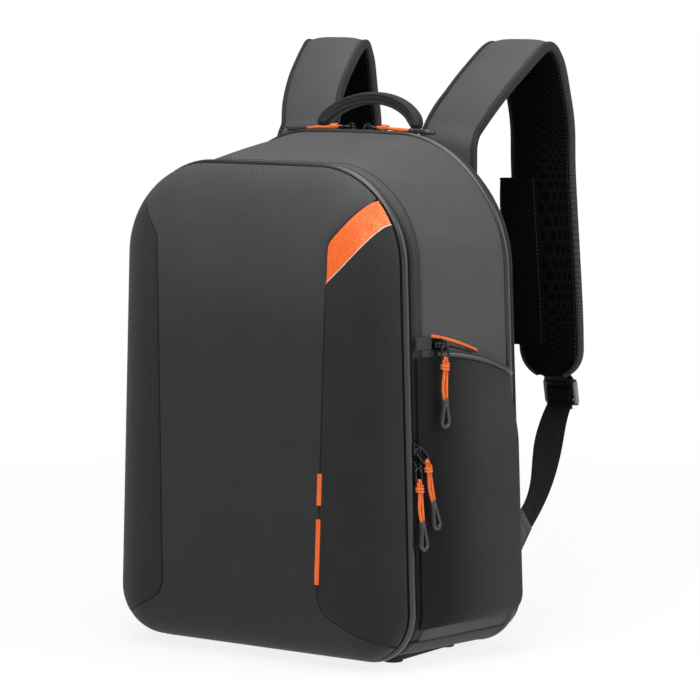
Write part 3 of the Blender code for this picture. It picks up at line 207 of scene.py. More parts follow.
class Bench:
    """Modelling steps that use Blender's own operators."""

    @staticmethod
    def clear_selection() -> None:
        """Leaves edit mode and selects nothing."""
        if bpy.context.mode != "OBJECT":
            bpy.ops.object.mode_set(mode="OBJECT")
        bpy.ops.object.select_all(action="DESELECT")

    @staticmethod
    def activate(piece: Piece) -> None:
        """Makes the piece the only selected one."""
        Bench.clear_selection()
        piece.select_set(True)
        bpy.context.view_layer.objects.active = piece

    @staticmethod
    def points(piece: Piece) -> Array:
        """The mesh's points as rows."""
        flat = np.empty(3 * len(piece.data.vertices))
        piece.data.vertices.foreach_get("co", flat)
        return flat.reshape(-1, 3)

    @staticmethod
    def move_points(piece: Piece, points: Array) -> None:
        """Sets the mesh's points from rows."""
        piece.data.vertices.foreach_set("co", np.ascontiguousarray(points, float).ravel())
        piece.data.update()

    @staticmethod
    def sheet(name: str, columns: int, rows: int, place: Callable[[Array, Array], Array],
              size: tuple[float, float] = (1.0, 1.0)) -> Piece:
        """A grid laid on a surface.

        Args:
            name: Name of the piece.
            columns: Faces across.
            rows: Faces along.
            place: Gives points for shares across and along.
            size: Width and length in metres for the UV map.

        Returns:
            The new piece.
        """
        Bench.clear_selection()
        bpy.ops.mesh.primitive_grid_add(x_subdivisions=columns, y_subdivisions=rows, size=1.0)
        piece = bpy.context.active_object
        piece.name = name
        piece.data.name = name
        flat = Bench.points(piece)
        Bench.move_points(piece, place(np.clip(flat[:, 0] + 0.5, 0, 1), np.clip(flat[:, 1] + 0.5, 0, 1)))
        layer = piece.data.uv_layers.active.data
        uv = np.empty(2 * len(layer))
        layer.foreach_get("uv", uv)
        layer.foreach_set("uv", (uv.reshape(-1, 2) * np.array(size)).ravel())
        return piece

    @staticmethod
    def loft(name: str, rings: Array, around: bool = True, loop: bool = False) -> Piece:
        """A skin over rings of points, made from a grid, with its open ends filled where the rings close.

        Args:
            name: Name of the piece.
            rings: Array of rings, points and coordinates.
            around: Whether each ring closes.
            loop: Whether the last ring joins the first.

        Returns:
            The new piece, with faces outwards where it is closed.
        """
        count, size = rings.shape[:2]
        columns = size if around else size - 1
        rows = count if loop else count - 1
        shown = np.concatenate([rings, rings[:, :1]], axis=1) if around else rings
        width = float(np.linalg.norm(np.diff(shown, axis=1), axis=2).sum(axis=1).mean())
        length = float(np.linalg.norm(np.diff(rings, axis=0), axis=2).sum(axis=0).mean())

        def place(u: Array, v: Array) -> Array:
            """Points of the rings by share."""
            return rings[np.rint(v * rows).astype(int) % count, np.rint(u * columns).astype(int) % size]

        piece = Bench.sheet(name, columns, rows, place, (width, length))
        if around or loop:
            Bench.weld(piece, around and not loop)
        return piece

    @staticmethod
    def tube(name: str, path: Array, across: Array, width: float | Array, thick: float | Array, profile: Array,
             loop: bool = False) -> Piece:
        """A section carried along a path, with the arguments of ribbon_rings."""
        return Bench.loft(name, ribbon_rings(path, across, width, thick, profile, loop), loop=loop)

    @staticmethod
    def lay_pattern(piece: Piece, half: float = math.inf) -> None:
        """Lays a pattern by width and height in metres, and on round a front of that half width.

        Args:
            piece: The piece to change.
            half: Half the front's width, or infinity for a flat piece.
        """
        corners = np.empty(len(piece.data.loops), dtype=np.int32)
        piece.data.loops.foreach_get("vertex_index", corners)
        x, y, z = Bench.points(piece)[corners].T
        spots = np.stack([x + x / half * (y - y.min()), z], axis=1)
        piece.data.uv_layers.active.data.foreach_set("uv", spots.astype(np.float32).ravel())

    @staticmethod
    def weld(piece: Piece, fill: bool = False) -> None:
        """Merges doubled points, fills holes where asked and turns faces outwards.

        Args:
            piece: The piece to change.
            fill: Whether open ends are filled.
        """
        Bench.activate(piece)
        bpy.ops.object.mode_set(mode="EDIT")
        bpy.ops.mesh.select_all(action="SELECT")
        bpy.ops.mesh.remove_doubles(threshold=1e-6)
        if fill:
            bpy.ops.mesh.fill_holes(sides=0)
        bpy.ops.mesh.select_all(action="SELECT")
        bpy.ops.mesh.normals_make_consistent(inside=False)
        bpy.ops.object.mode_set(mode="OBJECT")

    @staticmethod
    def face_along(piece: Piece, direction: Callable[[Array], Array]) -> None:
        """Turns an open sheet so that its faces look along a direction given for their middles.

        Args:
            piece: The piece to change.
            direction: Gives a direction for each middle.
        """
        normals = np.array([p.normal for p in piece.data.polygons])
        middles = np.array([p.center for p in piece.data.polygons])
        if np.sum(normals * direction(middles)) < 0:
            Bench.activate(piece)
            bpy.ops.object.mode_set(mode="EDIT")
            bpy.ops.mesh.select_all(action="SELECT")
            bpy.ops.mesh.flip_normals()
            bpy.ops.object.mode_set(mode="OBJECT")

    @staticmethod
    def apply(piece: Piece, kind: str, **settings: object) -> None:
        """Adds a modifier with the settings and applies it.

        Args:
            piece: The piece to change.
            kind: The modifier's type.
            **settings: Its properties.
        """
        Bench.activate(piece)
        change = piece.modifiers.new("step", kind)
        for key, value in settings.items():
            setattr(change, key, value)
        bpy.ops.object.modifier_apply(modifier=change.name)

    @staticmethod
    def thicken(piece: Piece, thickness: float, second: int = 0) -> None:
        """Gives an open sheet a wall behind its face; the back may take a second material."""
        Bench.apply(piece, "SOLIDIFY", thickness=thickness, offset=-1.0, material_offset=second)

    @staticmethod
    def bevel(piece: Piece, width: float, segments: int = 2, angle: float = 30) -> None:
        """Rounds the sharp edges."""
        Bench.apply(piece, "BEVEL", width=width, segments=segments, limit_method="ANGLE",
                    angle_limit=math.radians(angle), harden_normals=False)

    @staticmethod
    def carve(piece: Piece, tool: Piece, operation: str = "DIFFERENCE") -> None:
        """Cuts or joins the piece with a tool, which is then removed."""
        Bench.apply(piece, "BOOLEAN", operation=operation, object=tool, solver="EXACT")
        bpy.data.objects.remove(tool, do_unlink=True)

    @staticmethod
    def block(name: str, low: Sequence[float], high: Sequence[float]) -> Piece:
        """A cube added at its size and place, as the start of a shape.

        Args:
            name: Name of the piece.
            low: Its lowest corner.
            high: Its highest corner.

        Returns:
            The new piece.
        """
        Bench.clear_selection()
        bpy.ops.mesh.primitive_cube_add(size=1.0)
        piece = bpy.context.active_object
        piece.name = name
        piece.data.name = name
        low, high = np.array(low), np.array(high)
        Bench.move_points(piece, (Bench.points(piece) + 0.5) * (high - low) + low)
        return piece

    @staticmethod
    def copy(piece: Piece, name: str, matrix: Matrix) -> Piece:
        """A copy with its own mesh, moved by a matrix.

        Args:
            piece: The piece to copy.
            name: Name of the copy.
            matrix: Where it goes; it may mirror.

        Returns:
            The copy.
        """
        Bench.activate(piece)
        bpy.ops.object.duplicate(linked=False)
        twin = bpy.context.active_object
        twin.name = name
        twin.data.name = name
        twin.data.transform(matrix)
        if matrix.determinant() < 0:
            twin.data.flip_normals()
        return twin

    @staticmethod
    def paint_faces(piece: Piece, test: Callable[[Array, Array], Array], index: int) -> None:
        """Gives the faces whose UV passes the test another material slot.

        Args:
            piece: The piece to change.
            test: Tells for u and v of each face's middle.
            index: The slot.
        """
        layer = piece.data.uv_layers.active.data
        uv = np.empty(2 * len(layer))
        layer.foreach_get("uv", uv)
        uv = uv.reshape(-1, 2)
        starts = np.empty(len(piece.data.polygons), int)
        piece.data.polygons.foreach_get("loop_start", starts)
        totals = np.empty(len(piece.data.polygons), int)
        piece.data.polygons.foreach_get("loop_total", totals)
        middle = np.add.reduceat(uv, starts, axis=0) / totals[:, None]
        slots = np.empty(len(starts), int)
        piece.data.polygons.foreach_get("material_index", slots)
        slots[test(middle[:, 0], middle[:, 1])] = index
        piece.data.polygons.foreach_set("material_index", slots)


def settle(piece: Piece, body: str, nodes: Sequence[str], finishes: "Sequence[Finish]", angle: float = 40) -> Piece:
    """Shades a finished piece, gives it its materials and sets it on its body.

    Args:
        piece: The piece, in place.
        body: The body that it moves with.
        nodes: The CAD nodes that it stands for.
        finishes: One finish for each material slot.
        angle: Edges sharper than this stay sharp, in degrees.

    Returns:
        The piece.
    """
    Bench.activate(piece)
    bpy.ops.object.shade_smooth_by_angle(angle=math.radians(angle))
    while len(piece.data.materials) < len(finishes):
        piece.data.materials.append(None)
    for index, finish in enumerate(finishes):
        piece.data.materials[index] = finish.material()
    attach(piece, str(body.value if isinstance(body, Enum) else body))
    if nodes:
        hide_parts(*nodes)
    log.info("%s: %d faces", piece.name, len(piece.data.polygons))
    return piece


def settle_across(piece: Piece, bodies: tuple[str, str], node: str,
                  finish: "Finish") -> None:
    """Shades a piece that crosses a joint, gives it its finish and bakes its place; it is set on neither body.

    Args:
        piece: The piece, in place.
        bodies: The bodies on the two sides of the joint, only named in the log.
        node: The CAD node that it stands for.
        finish: Its finish.
    """
    Bench.activate(piece)
    bpy.ops.object.shade_smooth_by_angle(angle=math.radians(40))
    piece.data.materials.append(finish.material())
    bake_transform(piece)
    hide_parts(node)
    log.info("%s: blended from %s to %s", piece.name, *bodies)


def sew(name: str, path: Array, out: Array, body: Body, pitch: float = 0.0036, length: float = 0.0026,
        radius: float = 0.00035) -> None:
    """Sews a row of stitches along a path, all in one piece.

    Args:
        name: Name of the piece.
        path: Points of the sewn line.
        out: Direction away from the cloth, one for all or one each.
        body: The body that the cloth moves with.
        pitch: Distance from one stitch to the next.
        length: Length of a stitch.
        radius: Half the thread's thickness.
    """
    run = float(np.linalg.norm(np.diff(path, axis=0), axis=1).sum())
    count = max(2, int(run / pitch))
    rows = np.hstack([path, np.broadcast_to(out, path.shape)])
    spots = resampled(rows, 2 * count + 1)[1::2]
    ahead = unit(np.gradient(spots[:, :3], axis=0))
    up = unit(spots[:, 3:])
    side = np.cross(ahead, up)
    Bench.clear_selection()
    bpy.ops.mesh.primitive_cylinder_add(vertices=5, radius=1.0, depth=2.0, end_fill_type="TRIFAN")
    one = bpy.context.active_object
    shape = Bench.points(one)
    ends = np.abs(shape[:, 0]) + np.abs(shape[:, 1]) < 1e-4
    faces = [tuple(p.vertices) for p in one.data.polygons]
    bpy.data.objects.remove(one, do_unlink=True)
    bow = np.where(np.abs(shape[:, 2]) > 0.5, -0.6, 0.5)
    local = (ahead[:, None, :] * (shape[None, :, 2:3] * np.where(ends, 1.0, 0.75)[None, :, None] * length / 2)
             + side[:, None, :] * shape[None, :, :1] * radius
             + up[:, None, :] * (shape[None, :, 1:2] * radius + bow[None, :, None] * radius * 0.4))
    points = (spots[:, None, :3] + local).reshape(-1, 3)
    size = len(shape)
    mesh = bpy.data.meshes.new(name)
    mesh.from_pydata(points.tolist(), [], [tuple(k * size + v for v in f) for k in range(count) for f in faces])
    piece = bpy.data.objects.new(name, mesh)
    bpy.context.collection.objects.link(piece)
    settle(piece, body, [], [THREAD])


# Finishes


class Value:
    """A socket whose arithmetic adds Math nodes."""

    def __init__(self, graph: "Graph", socket: bpy.types.NodeSocket) -> None:
        """Wraps a socket of the graph."""
        self.graph = graph
        self.socket = socket

    def _math(self, operation: str, *inputs: "Value | float") -> "Value":
        """A Math node on the inputs."""
        return self.graph.node("ShaderNodeMath", {"operation": operation}, dict(enumerate(inputs)))

    def __add__(self, other: "Value | float") -> "Value":
        """Sum."""
        return self._math("ADD", self, other)

    __radd__ = __add__

    def __sub__(self, other: "Value | float") -> "Value":
        """Difference."""
        return self._math("SUBTRACT", self, other)

    def __rsub__(self, other: float) -> "Value":
        """Reflected difference."""
        return self._math("SUBTRACT", other, self)

    def __mul__(self, other: "Value | float") -> "Value":
        """Product."""
        return self._math("MULTIPLY", self, other)

    __rmul__ = __mul__

    def __truediv__(self, other: "Value | float") -> "Value":
        """Quotient."""
        return self._math("DIVIDE", self, other)

    def least(self, other: "Value | float") -> "Value":
        """The smaller of two."""
        return self._math("MINIMUM", self, other)

    def most(self, other: "Value | float") -> "Value":
        """The larger of two."""
        return self._math("MAXIMUM", self, other)

    def sine(self) -> "Value":
        """Sine of the value."""
        return self._math("SINE", self)

    def fract(self) -> "Value":
        """What is left after the whole number."""
        return self._math("FRACT", self)

    def size(self) -> "Value":
        """The value without its sign."""
        return self._math("ABSOLUTE", self)

    def root(self) -> "Value":
        """Square root."""
        return self._math("SQRT", self)

    def band(self, low: float, high: float) -> "Value":
        """Soft step from 0 at low to 1 at high."""
        return self.graph.node("ShaderNodeMapRange", {"interpolation_type": "SMOOTHSTEP"},
                               {"Value": self, "From Min": low, "From Max": high})


class Graph:
    """The node tree of one material."""

    def __init__(self, name: str) -> None:
        """Starts a material with a Principled shader."""
        self.material = bpy.data.materials.new(name)
        self.material.use_nodes = True
        self.tree = self.material.node_tree
        self.shader = self.tree.nodes["Principled BSDF"]

    def node(self, kind: str, settings: dict[str, object], inputs: dict[str | int, object],
             output: str | int = 0) -> Value:
        """Adds a node.

        Args:
            kind: The node's type.
            settings: Properties set before its sockets.
            inputs: Values or links of its sockets.
            output: The socket to return.

        Returns:
            The wrapped output.
        """
        made = self.tree.nodes.new(kind)
        for key, value in settings.items():
            setattr(made, key, value)
        for key, value in inputs.items():
            self.feed(made.inputs[key], value)
        return Value(self, made.outputs[output])

    def feed(self, socket: bpy.types.NodeSocket, value: object) -> None:
        """Sets a socket from a value, a colour or a link.

        Args:
            socket: The input.
            value: What it takes.
        """
        if isinstance(value, Value):
            self.tree.links.new(value.socket, socket)
        elif isinstance(value, tuple) and len(value) == 3 and socket.type == "RGBA":
            socket.default_value = (*value, 1.0)
        else:
            socket.default_value = value

    def paint(self, **sockets: object) -> None:
        """Sets or links the shader's sockets, written with underscores."""
        for key, value in sockets.items():
            self.feed(self.shader.inputs[key.replace("_", " ")], value)

    def axes(self, source: str = "UV") -> tuple[Value, Value, Value]:
        """The three coordinates of a Texture Coordinate output."""
        whole = self.node("ShaderNodeTexCoord", {}, {}, source)
        parts = [self.node("ShaderNodeSeparateXYZ", {}, {0: whole}, k) for k in range(3)]
        return parts[0], parts[1], parts[2]

    def noise(self, scale: float, detail: float = 3.0, source: str = "Object") -> Value:
        """Soft noise from 0 to 1."""
        whole = self.node("ShaderNodeTexCoord", {}, {}, source)
        return self.node("ShaderNodeTexNoise", {}, {"Vector": whole, "Scale": scale, "Detail": detail})

    def blend(self, share: Value | float, first: object, second: object) -> Value:
        """Mix of two colours.

        Args:
            share: 0 for the first, 1 for the second.
            first: A colour or a link.
            second: A colour or a link.

        Returns:
            The mixed colour.
        """
        made = self.tree.nodes.new("ShaderNodeMix")
        made.data_type = "RGBA"
        sockets = [s for s in made.inputs if s.enabled]
        for socket, value in zip(sockets, (share, first, second)):
            self.feed(socket, value)
        return Value(self, next(s for s in made.outputs if s.enabled))

    def bump(self, height: Value, distance: float, strength: float) -> Value:
        """A bumped normal."""
        return self.node("ShaderNodeBump", {}, {"Height": height, "Distance": distance, "Strength": strength})


@dataclass(frozen=True)
class Finish:
    """A finish with a colour, and the name of the material slot that it belongs to."""

    name: str
    slot: str
    colour: tuple[float, float, float]
    roughness: float = 0.6

    def tone(self, factor: float) -> tuple[float, float, float]:
        """The colour made lighter or darker."""
        return tuple(min(1.0, channel * factor) for channel in self.colour)

    def material(self) -> bpy.types.Material:
        """The finish as a material, made once."""
        found = bpy.data.materials.get("look_" + self.name)
        if found:
            return found
        graph = Graph("look_" + self.name)
        self.dress(graph)
        return graph.material

    def dress(self, graph: Graph) -> None:
        """Fills in the nodes.

        Args:
            graph: The material's node tree.
        """
        raise NotImplementedError


@dataclass(frozen=True)
class Twill(Finish):
    """Coated twill: fine diagonal ribs under a satin coat."""

    pitch: float = 0.0011
    depth: float = 0.00022
    gloss: float = 0.36
    # Share of painted light that makes the cloth lighter towards its top, where the top light falls.
    lift: float = 0.0
    # Strength of painted shade on the gusset's sides next to the front zip.
    hollow: float = 0.0

    def dress(self, graph: Graph) -> None:
        """Diagonal ribs, broken by the crossing thread, with a soft cloudy tone; where asked, painted light towards
        the top and painted shade near the gusset's front edge.
        """
        u, v, _ = graph.axes()
        turn = 2 * math.pi / self.pitch
        rib = ((u + v) * turn).sine() * 0.5 + 0.5
        thread = ((u - v) * (turn * 0.5)).sine() * 0.5 + 0.5
        weave = rib * 0.75 + thread * 0.25
        cloud = graph.noise(26.0, 4.0)
        grain = graph.noise(1400.0, 2.0)
        shade = (weave * 0.5 + cloud * 0.3 + grain * 0.2).band(0.2, 0.8)
        colour = graph.blend(shade, self.tone(0.7), self.tone(1.3))
        _, y, z = graph.axes("Object")
        # Painted shade: darkens the cloth near the front zip on the sides, below the top, where the gusset dips
        # into shade.
        if self.hollow:
            groove = y.band(-0.099, -0.1155) * z.band(0.405, 0.34) * self.hollow
            colour = graph.blend(groove, colour, self.tone(0.1))
        # Painted light: the cloth turns lighter over its upper part, standing in for the top light.
        if self.lift:
            painted_top_light = graph.blend(shade, self.tone(1.4), self.tone(2.6))
            colour = graph.blend(z.band(0.25, 0.39) * self.lift, colour, painted_top_light)
        graph.paint(Base_Color=colour,
                    Roughness=cloud * 0.12 + (self.roughness - 0.06), Specular_IOR_Level=self.gloss,
                    Sheen_Weight=0.06, Sheen_Roughness=0.5,
                    Normal=graph.bump(weave * 0.8 + grain * 0.3, self.depth, 0.8))


@dataclass(frozen=True)
class Knit(Finish):
    """Stretch cloth: upright ribs of small loops, with painted shade darkening it towards the front where asked."""

    pitch: float = 0.0012
    fade: float = 0.0
    gloss: float = 0.16

    def dress(self, graph: Graph) -> None:
        """Columns of loops with slight streaks."""
        u, v, _ = graph.axes()
        turn = 2 * math.pi / self.pitch
        column = (u * turn).sine()
        loops = column.size() * 0.6 + ((v * turn + column * 1.2).sine() * 0.2 + 0.2)
        cloud = graph.noise(18.0, 4.0)
        shade = (loops * 0.4 + cloud * 0.6).band(0.2, 0.85)
        colour = graph.blend(shade, self.tone(0.7), self.tone(1.3))
        # Painted shade: the cloth darkens towards its front end, standing in for the shadow there.
        if self.fade:
            painted_front_shade = graph.axes("Object")[1].band(-0.035, -0.1) * self.fade
            colour = graph.blend(painted_front_shade, colour, self.tone(0.12))
        graph.paint(Base_Color=colour, Roughness=cloud * 0.1 + (self.roughness - 0.05),
                    Specular_IOR_Level=self.gloss, Sheen_Weight=0.02,
                    Normal=graph.bump(loops, 0.0002, 0.6))


@dataclass(frozen=True)
class Honeycomb(Finish):
    """Spacer mesh: rows of round holes with a lighter net between."""

    pitch: float = 0.0042

    def dress(self, graph: Graph) -> None:
        """Staggered holes over a darker ground."""
        u, v, _ = graph.axes()
        x, y = u / self.pitch, v / self.pitch
        tall = math.sqrt(3)

        def hole(shift: float) -> Value:
            """Distance to the nearest hole of one of the two grids."""
            a = (x + shift).fract() - 0.5
            b = ((y / tall + shift).fract() - 0.5) * tall
            return (a * a + b * b).root()

        reach = hole(0.0).least(hole(0.5))
        net = reach.band(0.22, 0.42)
        fuzz = graph.noise(900.0, 2.0)
        thread = graph.blend(fuzz, self.tone(0.8), self.tone(1.5))
        graph.paint(Base_Color=graph.blend(net, self.tone(0.35), thread),
                    Roughness=fuzz * 0.1 + (self.roughness - 0.05), Specular_IOR_Level=0.05,
                    Normal=graph.bump(net * 0.9 + fuzz * 0.15, 0.0009, 0.9))


@dataclass(frozen=True)
class Ribbed(Finish):
    """Woven tape: ribs across its length."""

    pitch: float = 0.0014
    depth: float = 0.0003
    gloss: float = 0.25

    def dress(self, graph: Graph) -> None:
        """Ribs with the weave's break along the length."""
        u, v, _ = graph.axes()
        rib = (v * (2 * math.pi / self.pitch)).sine() * 0.5 + 0.5
        lane = (u * (2 * math.pi / (2.2 * self.pitch))).sine() * 0.5 + 0.5
        fuzz = graph.noise(1100.0, 2.0)
        shade = (rib * 0.5 + lane * 0.2 + fuzz * 0.3).band(0.2, 0.8)
        graph.paint(Base_Color=graph.blend(shade, self.tone(0.65), self.tone(1.35)),
                    Roughness=fuzz * 0.12 + (self.roughness - 0.06), Specular_IOR_Level=self.gloss,
                    Normal=graph.bump(rib + lane * 0.3, self.depth, 0.7))


@dataclass(frozen=True)
class Braid(Finish):
    """Braided cord: strands that cross in both directions."""

    strand: float = 0.0024

    def dress(self, graph: Graph) -> None:
        """Two crossing sets of strands."""
        u, v, _ = graph.axes()
        turn = 2 * math.pi / self.strand
        one = ((v + u) * turn).sine()
        two = ((v - u) * turn).sine()
        strands = one.most(two) * 0.5 + 0.5
        fuzz = graph.noise(1500.0, 2.0)
        shade = (strands * 0.8 + fuzz * 0.2).band(0.35, 0.95)
        graph.paint(Base_Color=graph.blend(shade, self.tone(0.55), self.tone(1.12)),
                    Roughness=fuzz * 0.1 + (self.roughness - 0.05), Specular_IOR_Level=0.3, Sheen_Weight=0.1,
                    Normal=graph.bump(strands, 0.0003, 0.8))


@dataclass(frozen=True)
class Film(Finish):
    """Reflective orange film: an even coat with paler specks towards its outer end."""

    speck: tuple[float, float, float] = (1.0, 0.62, 0.36)
    gather: tuple[float, float] = (0.1, 0.14)

    def dress(self, graph: Graph) -> None:
        """Fine specks that thicken outwards."""
        x, _, _ = graph.axes("Object")
        fleck = graph.noise(1500.0, 1.0)
        cloud = graph.noise(120.0, 2.0)
        reach = x.band(*self.gather)
        specks = (fleck + cloud * 0.25 + reach * 0.2).band(0.81, 0.87)
        ground = graph.blend(cloud, self.tone(0.93), self.colour)
        graph.paint(Base_Color=graph.blend(specks * 0.7, ground, self.speck),
                    Roughness=fleck * 0.15 + (self.roughness - 0.08), Specular_IOR_Level=0.25,
                    Normal=graph.bump(fleck, 0.00008, 0.4))


@dataclass(frozen=True)
class Moulded(Finish):
    """Moulded rubber or plastic with a fine grain and rubbed spots."""

    grain: float = 900.0
    depth: float = 0.00006
    gloss: float = 0.45

    def dress(self, graph: Graph) -> None:
        """Grain in the gloss and the surface."""
        grain = graph.noise(self.grain, 3.0)
        cloud = graph.noise(60.0, 3.0)
        shade = (grain * 0.4 + cloud * 0.6).band(0.25, 0.75)
        graph.paint(Base_Color=graph.blend(shade, self.tone(0.85), self.tone(1.2)),
                    Roughness=(cloud * 0.16 + grain * 0.08) + (self.roughness - 0.12),
                    Specular_IOR_Level=self.gloss, Normal=graph.bump(grain, self.depth, 0.6))


@dataclass(frozen=True)
class Metal(Finish):
    """Blackened metal that is brighter where it is handled."""

    def dress(self, graph: Graph) -> None:
        """Slightly cloudy plating."""
        cloud = graph.noise(240.0, 4.0)
        rub = graph.noise(900.0, 2.0).band(0.55, 0.75)
        graph.paint(Base_Color=graph.blend(rub * 0.5, self.colour, self.tone(2.6)), Metallic=1.0,
                    Roughness=cloud * 0.18 + (self.roughness - 0.09),
                    Normal=graph.bump(cloud, 0.00004, 0.4))


@dataclass(frozen=True)
class Felt(Finish):
    """Brushed lining."""

    def dress(self, graph: Graph) -> None:
        """Short fibres in all directions."""
        fibre = graph.noise(700.0, 5.0)
        cloud = graph.noise(30.0, 3.0)
        shade = (fibre * 0.6 + cloud * 0.4).band(0.25, 0.75)
        graph.paint(Base_Color=graph.blend(shade, self.tone(0.7), self.tone(1.35)),
                    Roughness=fibre * 0.1 + (self.roughness - 0.05), Specular_IOR_Level=0.2, Sheen_Weight=0.3,
                    Normal=graph.bump(fibre, 0.0003, 0.6))


@dataclass(frozen=True)
class OpenNet(Finish):
    """Open net with see-through holes."""

    pitch: float = 0.0034

    def dress(self, graph: Graph) -> None:
        """Holes cut by alpha."""
        u, v, _ = graph.axes()
        a = (u / self.pitch).fract() - 0.5
        b = (v / self.pitch).fract() - 0.5
        reach = (a * a + b * b).root()
        thread = reach.band(0.3, 0.36)
        fuzz = graph.noise(1200.0, 2.0)
        graph.paint(Base_Color=graph.blend(fuzz, self.tone(0.7), self.tone(1.4)),
                    Roughness=fuzz * 0.1 + (self.roughness - 0.05), Alpha=thread,
                    Normal=graph.bump(reach, 0.0004, 0.6))


# Shell twill; its lift paints light onto its upper part.
SHELL_CLOTH = Twill("shell_twill", "shell_fabric", (0.029, 0.029, 0.0302), 0.5, pitch=0.0022, depth=0.00045,
                    gloss=0.1, lift=1.0)
# A darker copy of the shell twill for the side panels, as painted shade; its lift also paints light towards the
# top.
SHADED_SIDE_CLOTH = Twill("side_twill", "shell_fabric", (0.02, 0.02, 0.021), 0.5, pitch=0.0022, depth=0.00045,
                   gloss=0.1, lift=0.45)
BODY_CLOTH = Twill("body_twill", "coated_twill", (0.054, 0.054, 0.0565), 0.62, pitch=0.0016, depth=0.0002)
# The gusset's twill, with painted shade near the front zip on its sides.
GUSSET_CLOTH = Twill("gusset_twill", "coated_twill", (0.054, 0.054, 0.0565), 0.62, pitch=0.0016, depth=0.0002,
                     hollow=0.85)
BASE_CLOTH = Twill("base_twill", "coated_twill", (0.026, 0.026, 0.0275), 0.66, pitch=0.0018, depth=0.00025)
PIPING = Twill("piping_cloth", "piping", (0.01, 0.01, 0.0106), 0.3, pitch=0.0014, depth=0.0001, gloss=0.8)
# Near-black rim tape: a real tape whose colour is also painted shade for the gap between shell and bead.
SHADED_EDGE_TAPE = Ribbed("edge_tape", "piping", (0.004, 0.004, 0.0044), 0.8, pitch=0.0011, gloss=0.08)
# Pocket knit with painted shade towards its front end.
STRETCH = Knit("stretch_knit", "stretch_fabric", (0.036, 0.036, 0.038), 0.8, fade=0.93)
COVER = Knit("cover_knit", "stretch_fabric", (0.003, 0.003, 0.0033), 0.9, gloss=0.04)
STRAP_CLOTH = Twill("strap_twill", "strap_fabric", (0.062, 0.062, 0.065), 0.66, pitch=0.0016, depth=0.0002)
HANDLE_CLOTH = Twill("handle_twill", "strap_fabric", (0.014, 0.014, 0.015), 0.6, pitch=0.0011, depth=0.00016)
BINDING = Ribbed("binding_tape", "strap_fabric", (0.03, 0.03, 0.032), 0.68, pitch=0.0017, depth=0.0005)
AIR_MESH = Honeycomb("air_mesh", "air_mesh", (0.0042, 0.0042, 0.0046), 0.88)
WEB = Ribbed("strap_webbing", "webbing", (0.007, 0.007, 0.0075), 0.66, pitch=0.0022, depth=0.0005, gloss=0.12)
LINING = Felt("brushed_lining", "foam_lining", (0.035, 0.035, 0.037), 0.9)
NET = OpenNet("open_net", "air_mesh", (0.02, 0.02, 0.021), 0.8)
TAPE = Ribbed("zip_tape", "zip_tape", (0.005, 0.005, 0.0055), 0.78, pitch=0.0008, depth=0.00015, gloss=0.08)
COIL = Moulded("zip_coil", "zip_tape", (0.008, 0.008, 0.0085), 0.42)
ORANGE = Film("orange_film", "orange_trim", (0.84, 0.135, 0.022), 0.55)
ORANGE_CORD = Braid("orange_braid", "orange_trim", (0.97, 0.18, 0.03), 0.62)
# A pale thin line along the accent's lower edge, as a painted highlight.
EDGE_HIGHLIGHT = Moulded("pale_edge", "orange_trim", (0.6, 0.52, 0.46), 0.5)
METAL = Metal("black_metal", "black_metal", (0.05, 0.05, 0.053), 0.3)
GRIP = Moulded("grip_rubber", "grip_rubber", (0.021, 0.021, 0.0225), 0.36, gloss=0.7)
BUCKLE = Moulded("buckle_plastic", "buckle_plastic", (0.02, 0.02, 0.022), 0.42, gloss=0.5)
# Light grey rails: a painted highlight on the dark buckle plastic.
RAIL_HIGHLIGHT = Moulded("buckle_rail", "buckle_plastic", (0.2, 0.2, 0.21), 0.38, gloss=0.5)
RUBBER = Moulded("base_rubber", "base_rubber", (0.02, 0.02, 0.021), 0.72, depth=0.0002)
THREAD = Ribbed("thread", "strap_fabric", (0.035, 0.035, 0.037), 0.7, pitch=0.0006)


# The bag's form


@dataclass(frozen=True)
class Section:
    """Outline of the body at one depth."""

    half_low: float
    half_top: float
    floor: float
    height: float
    arch: float
    low_corner: float
    top_corner: float


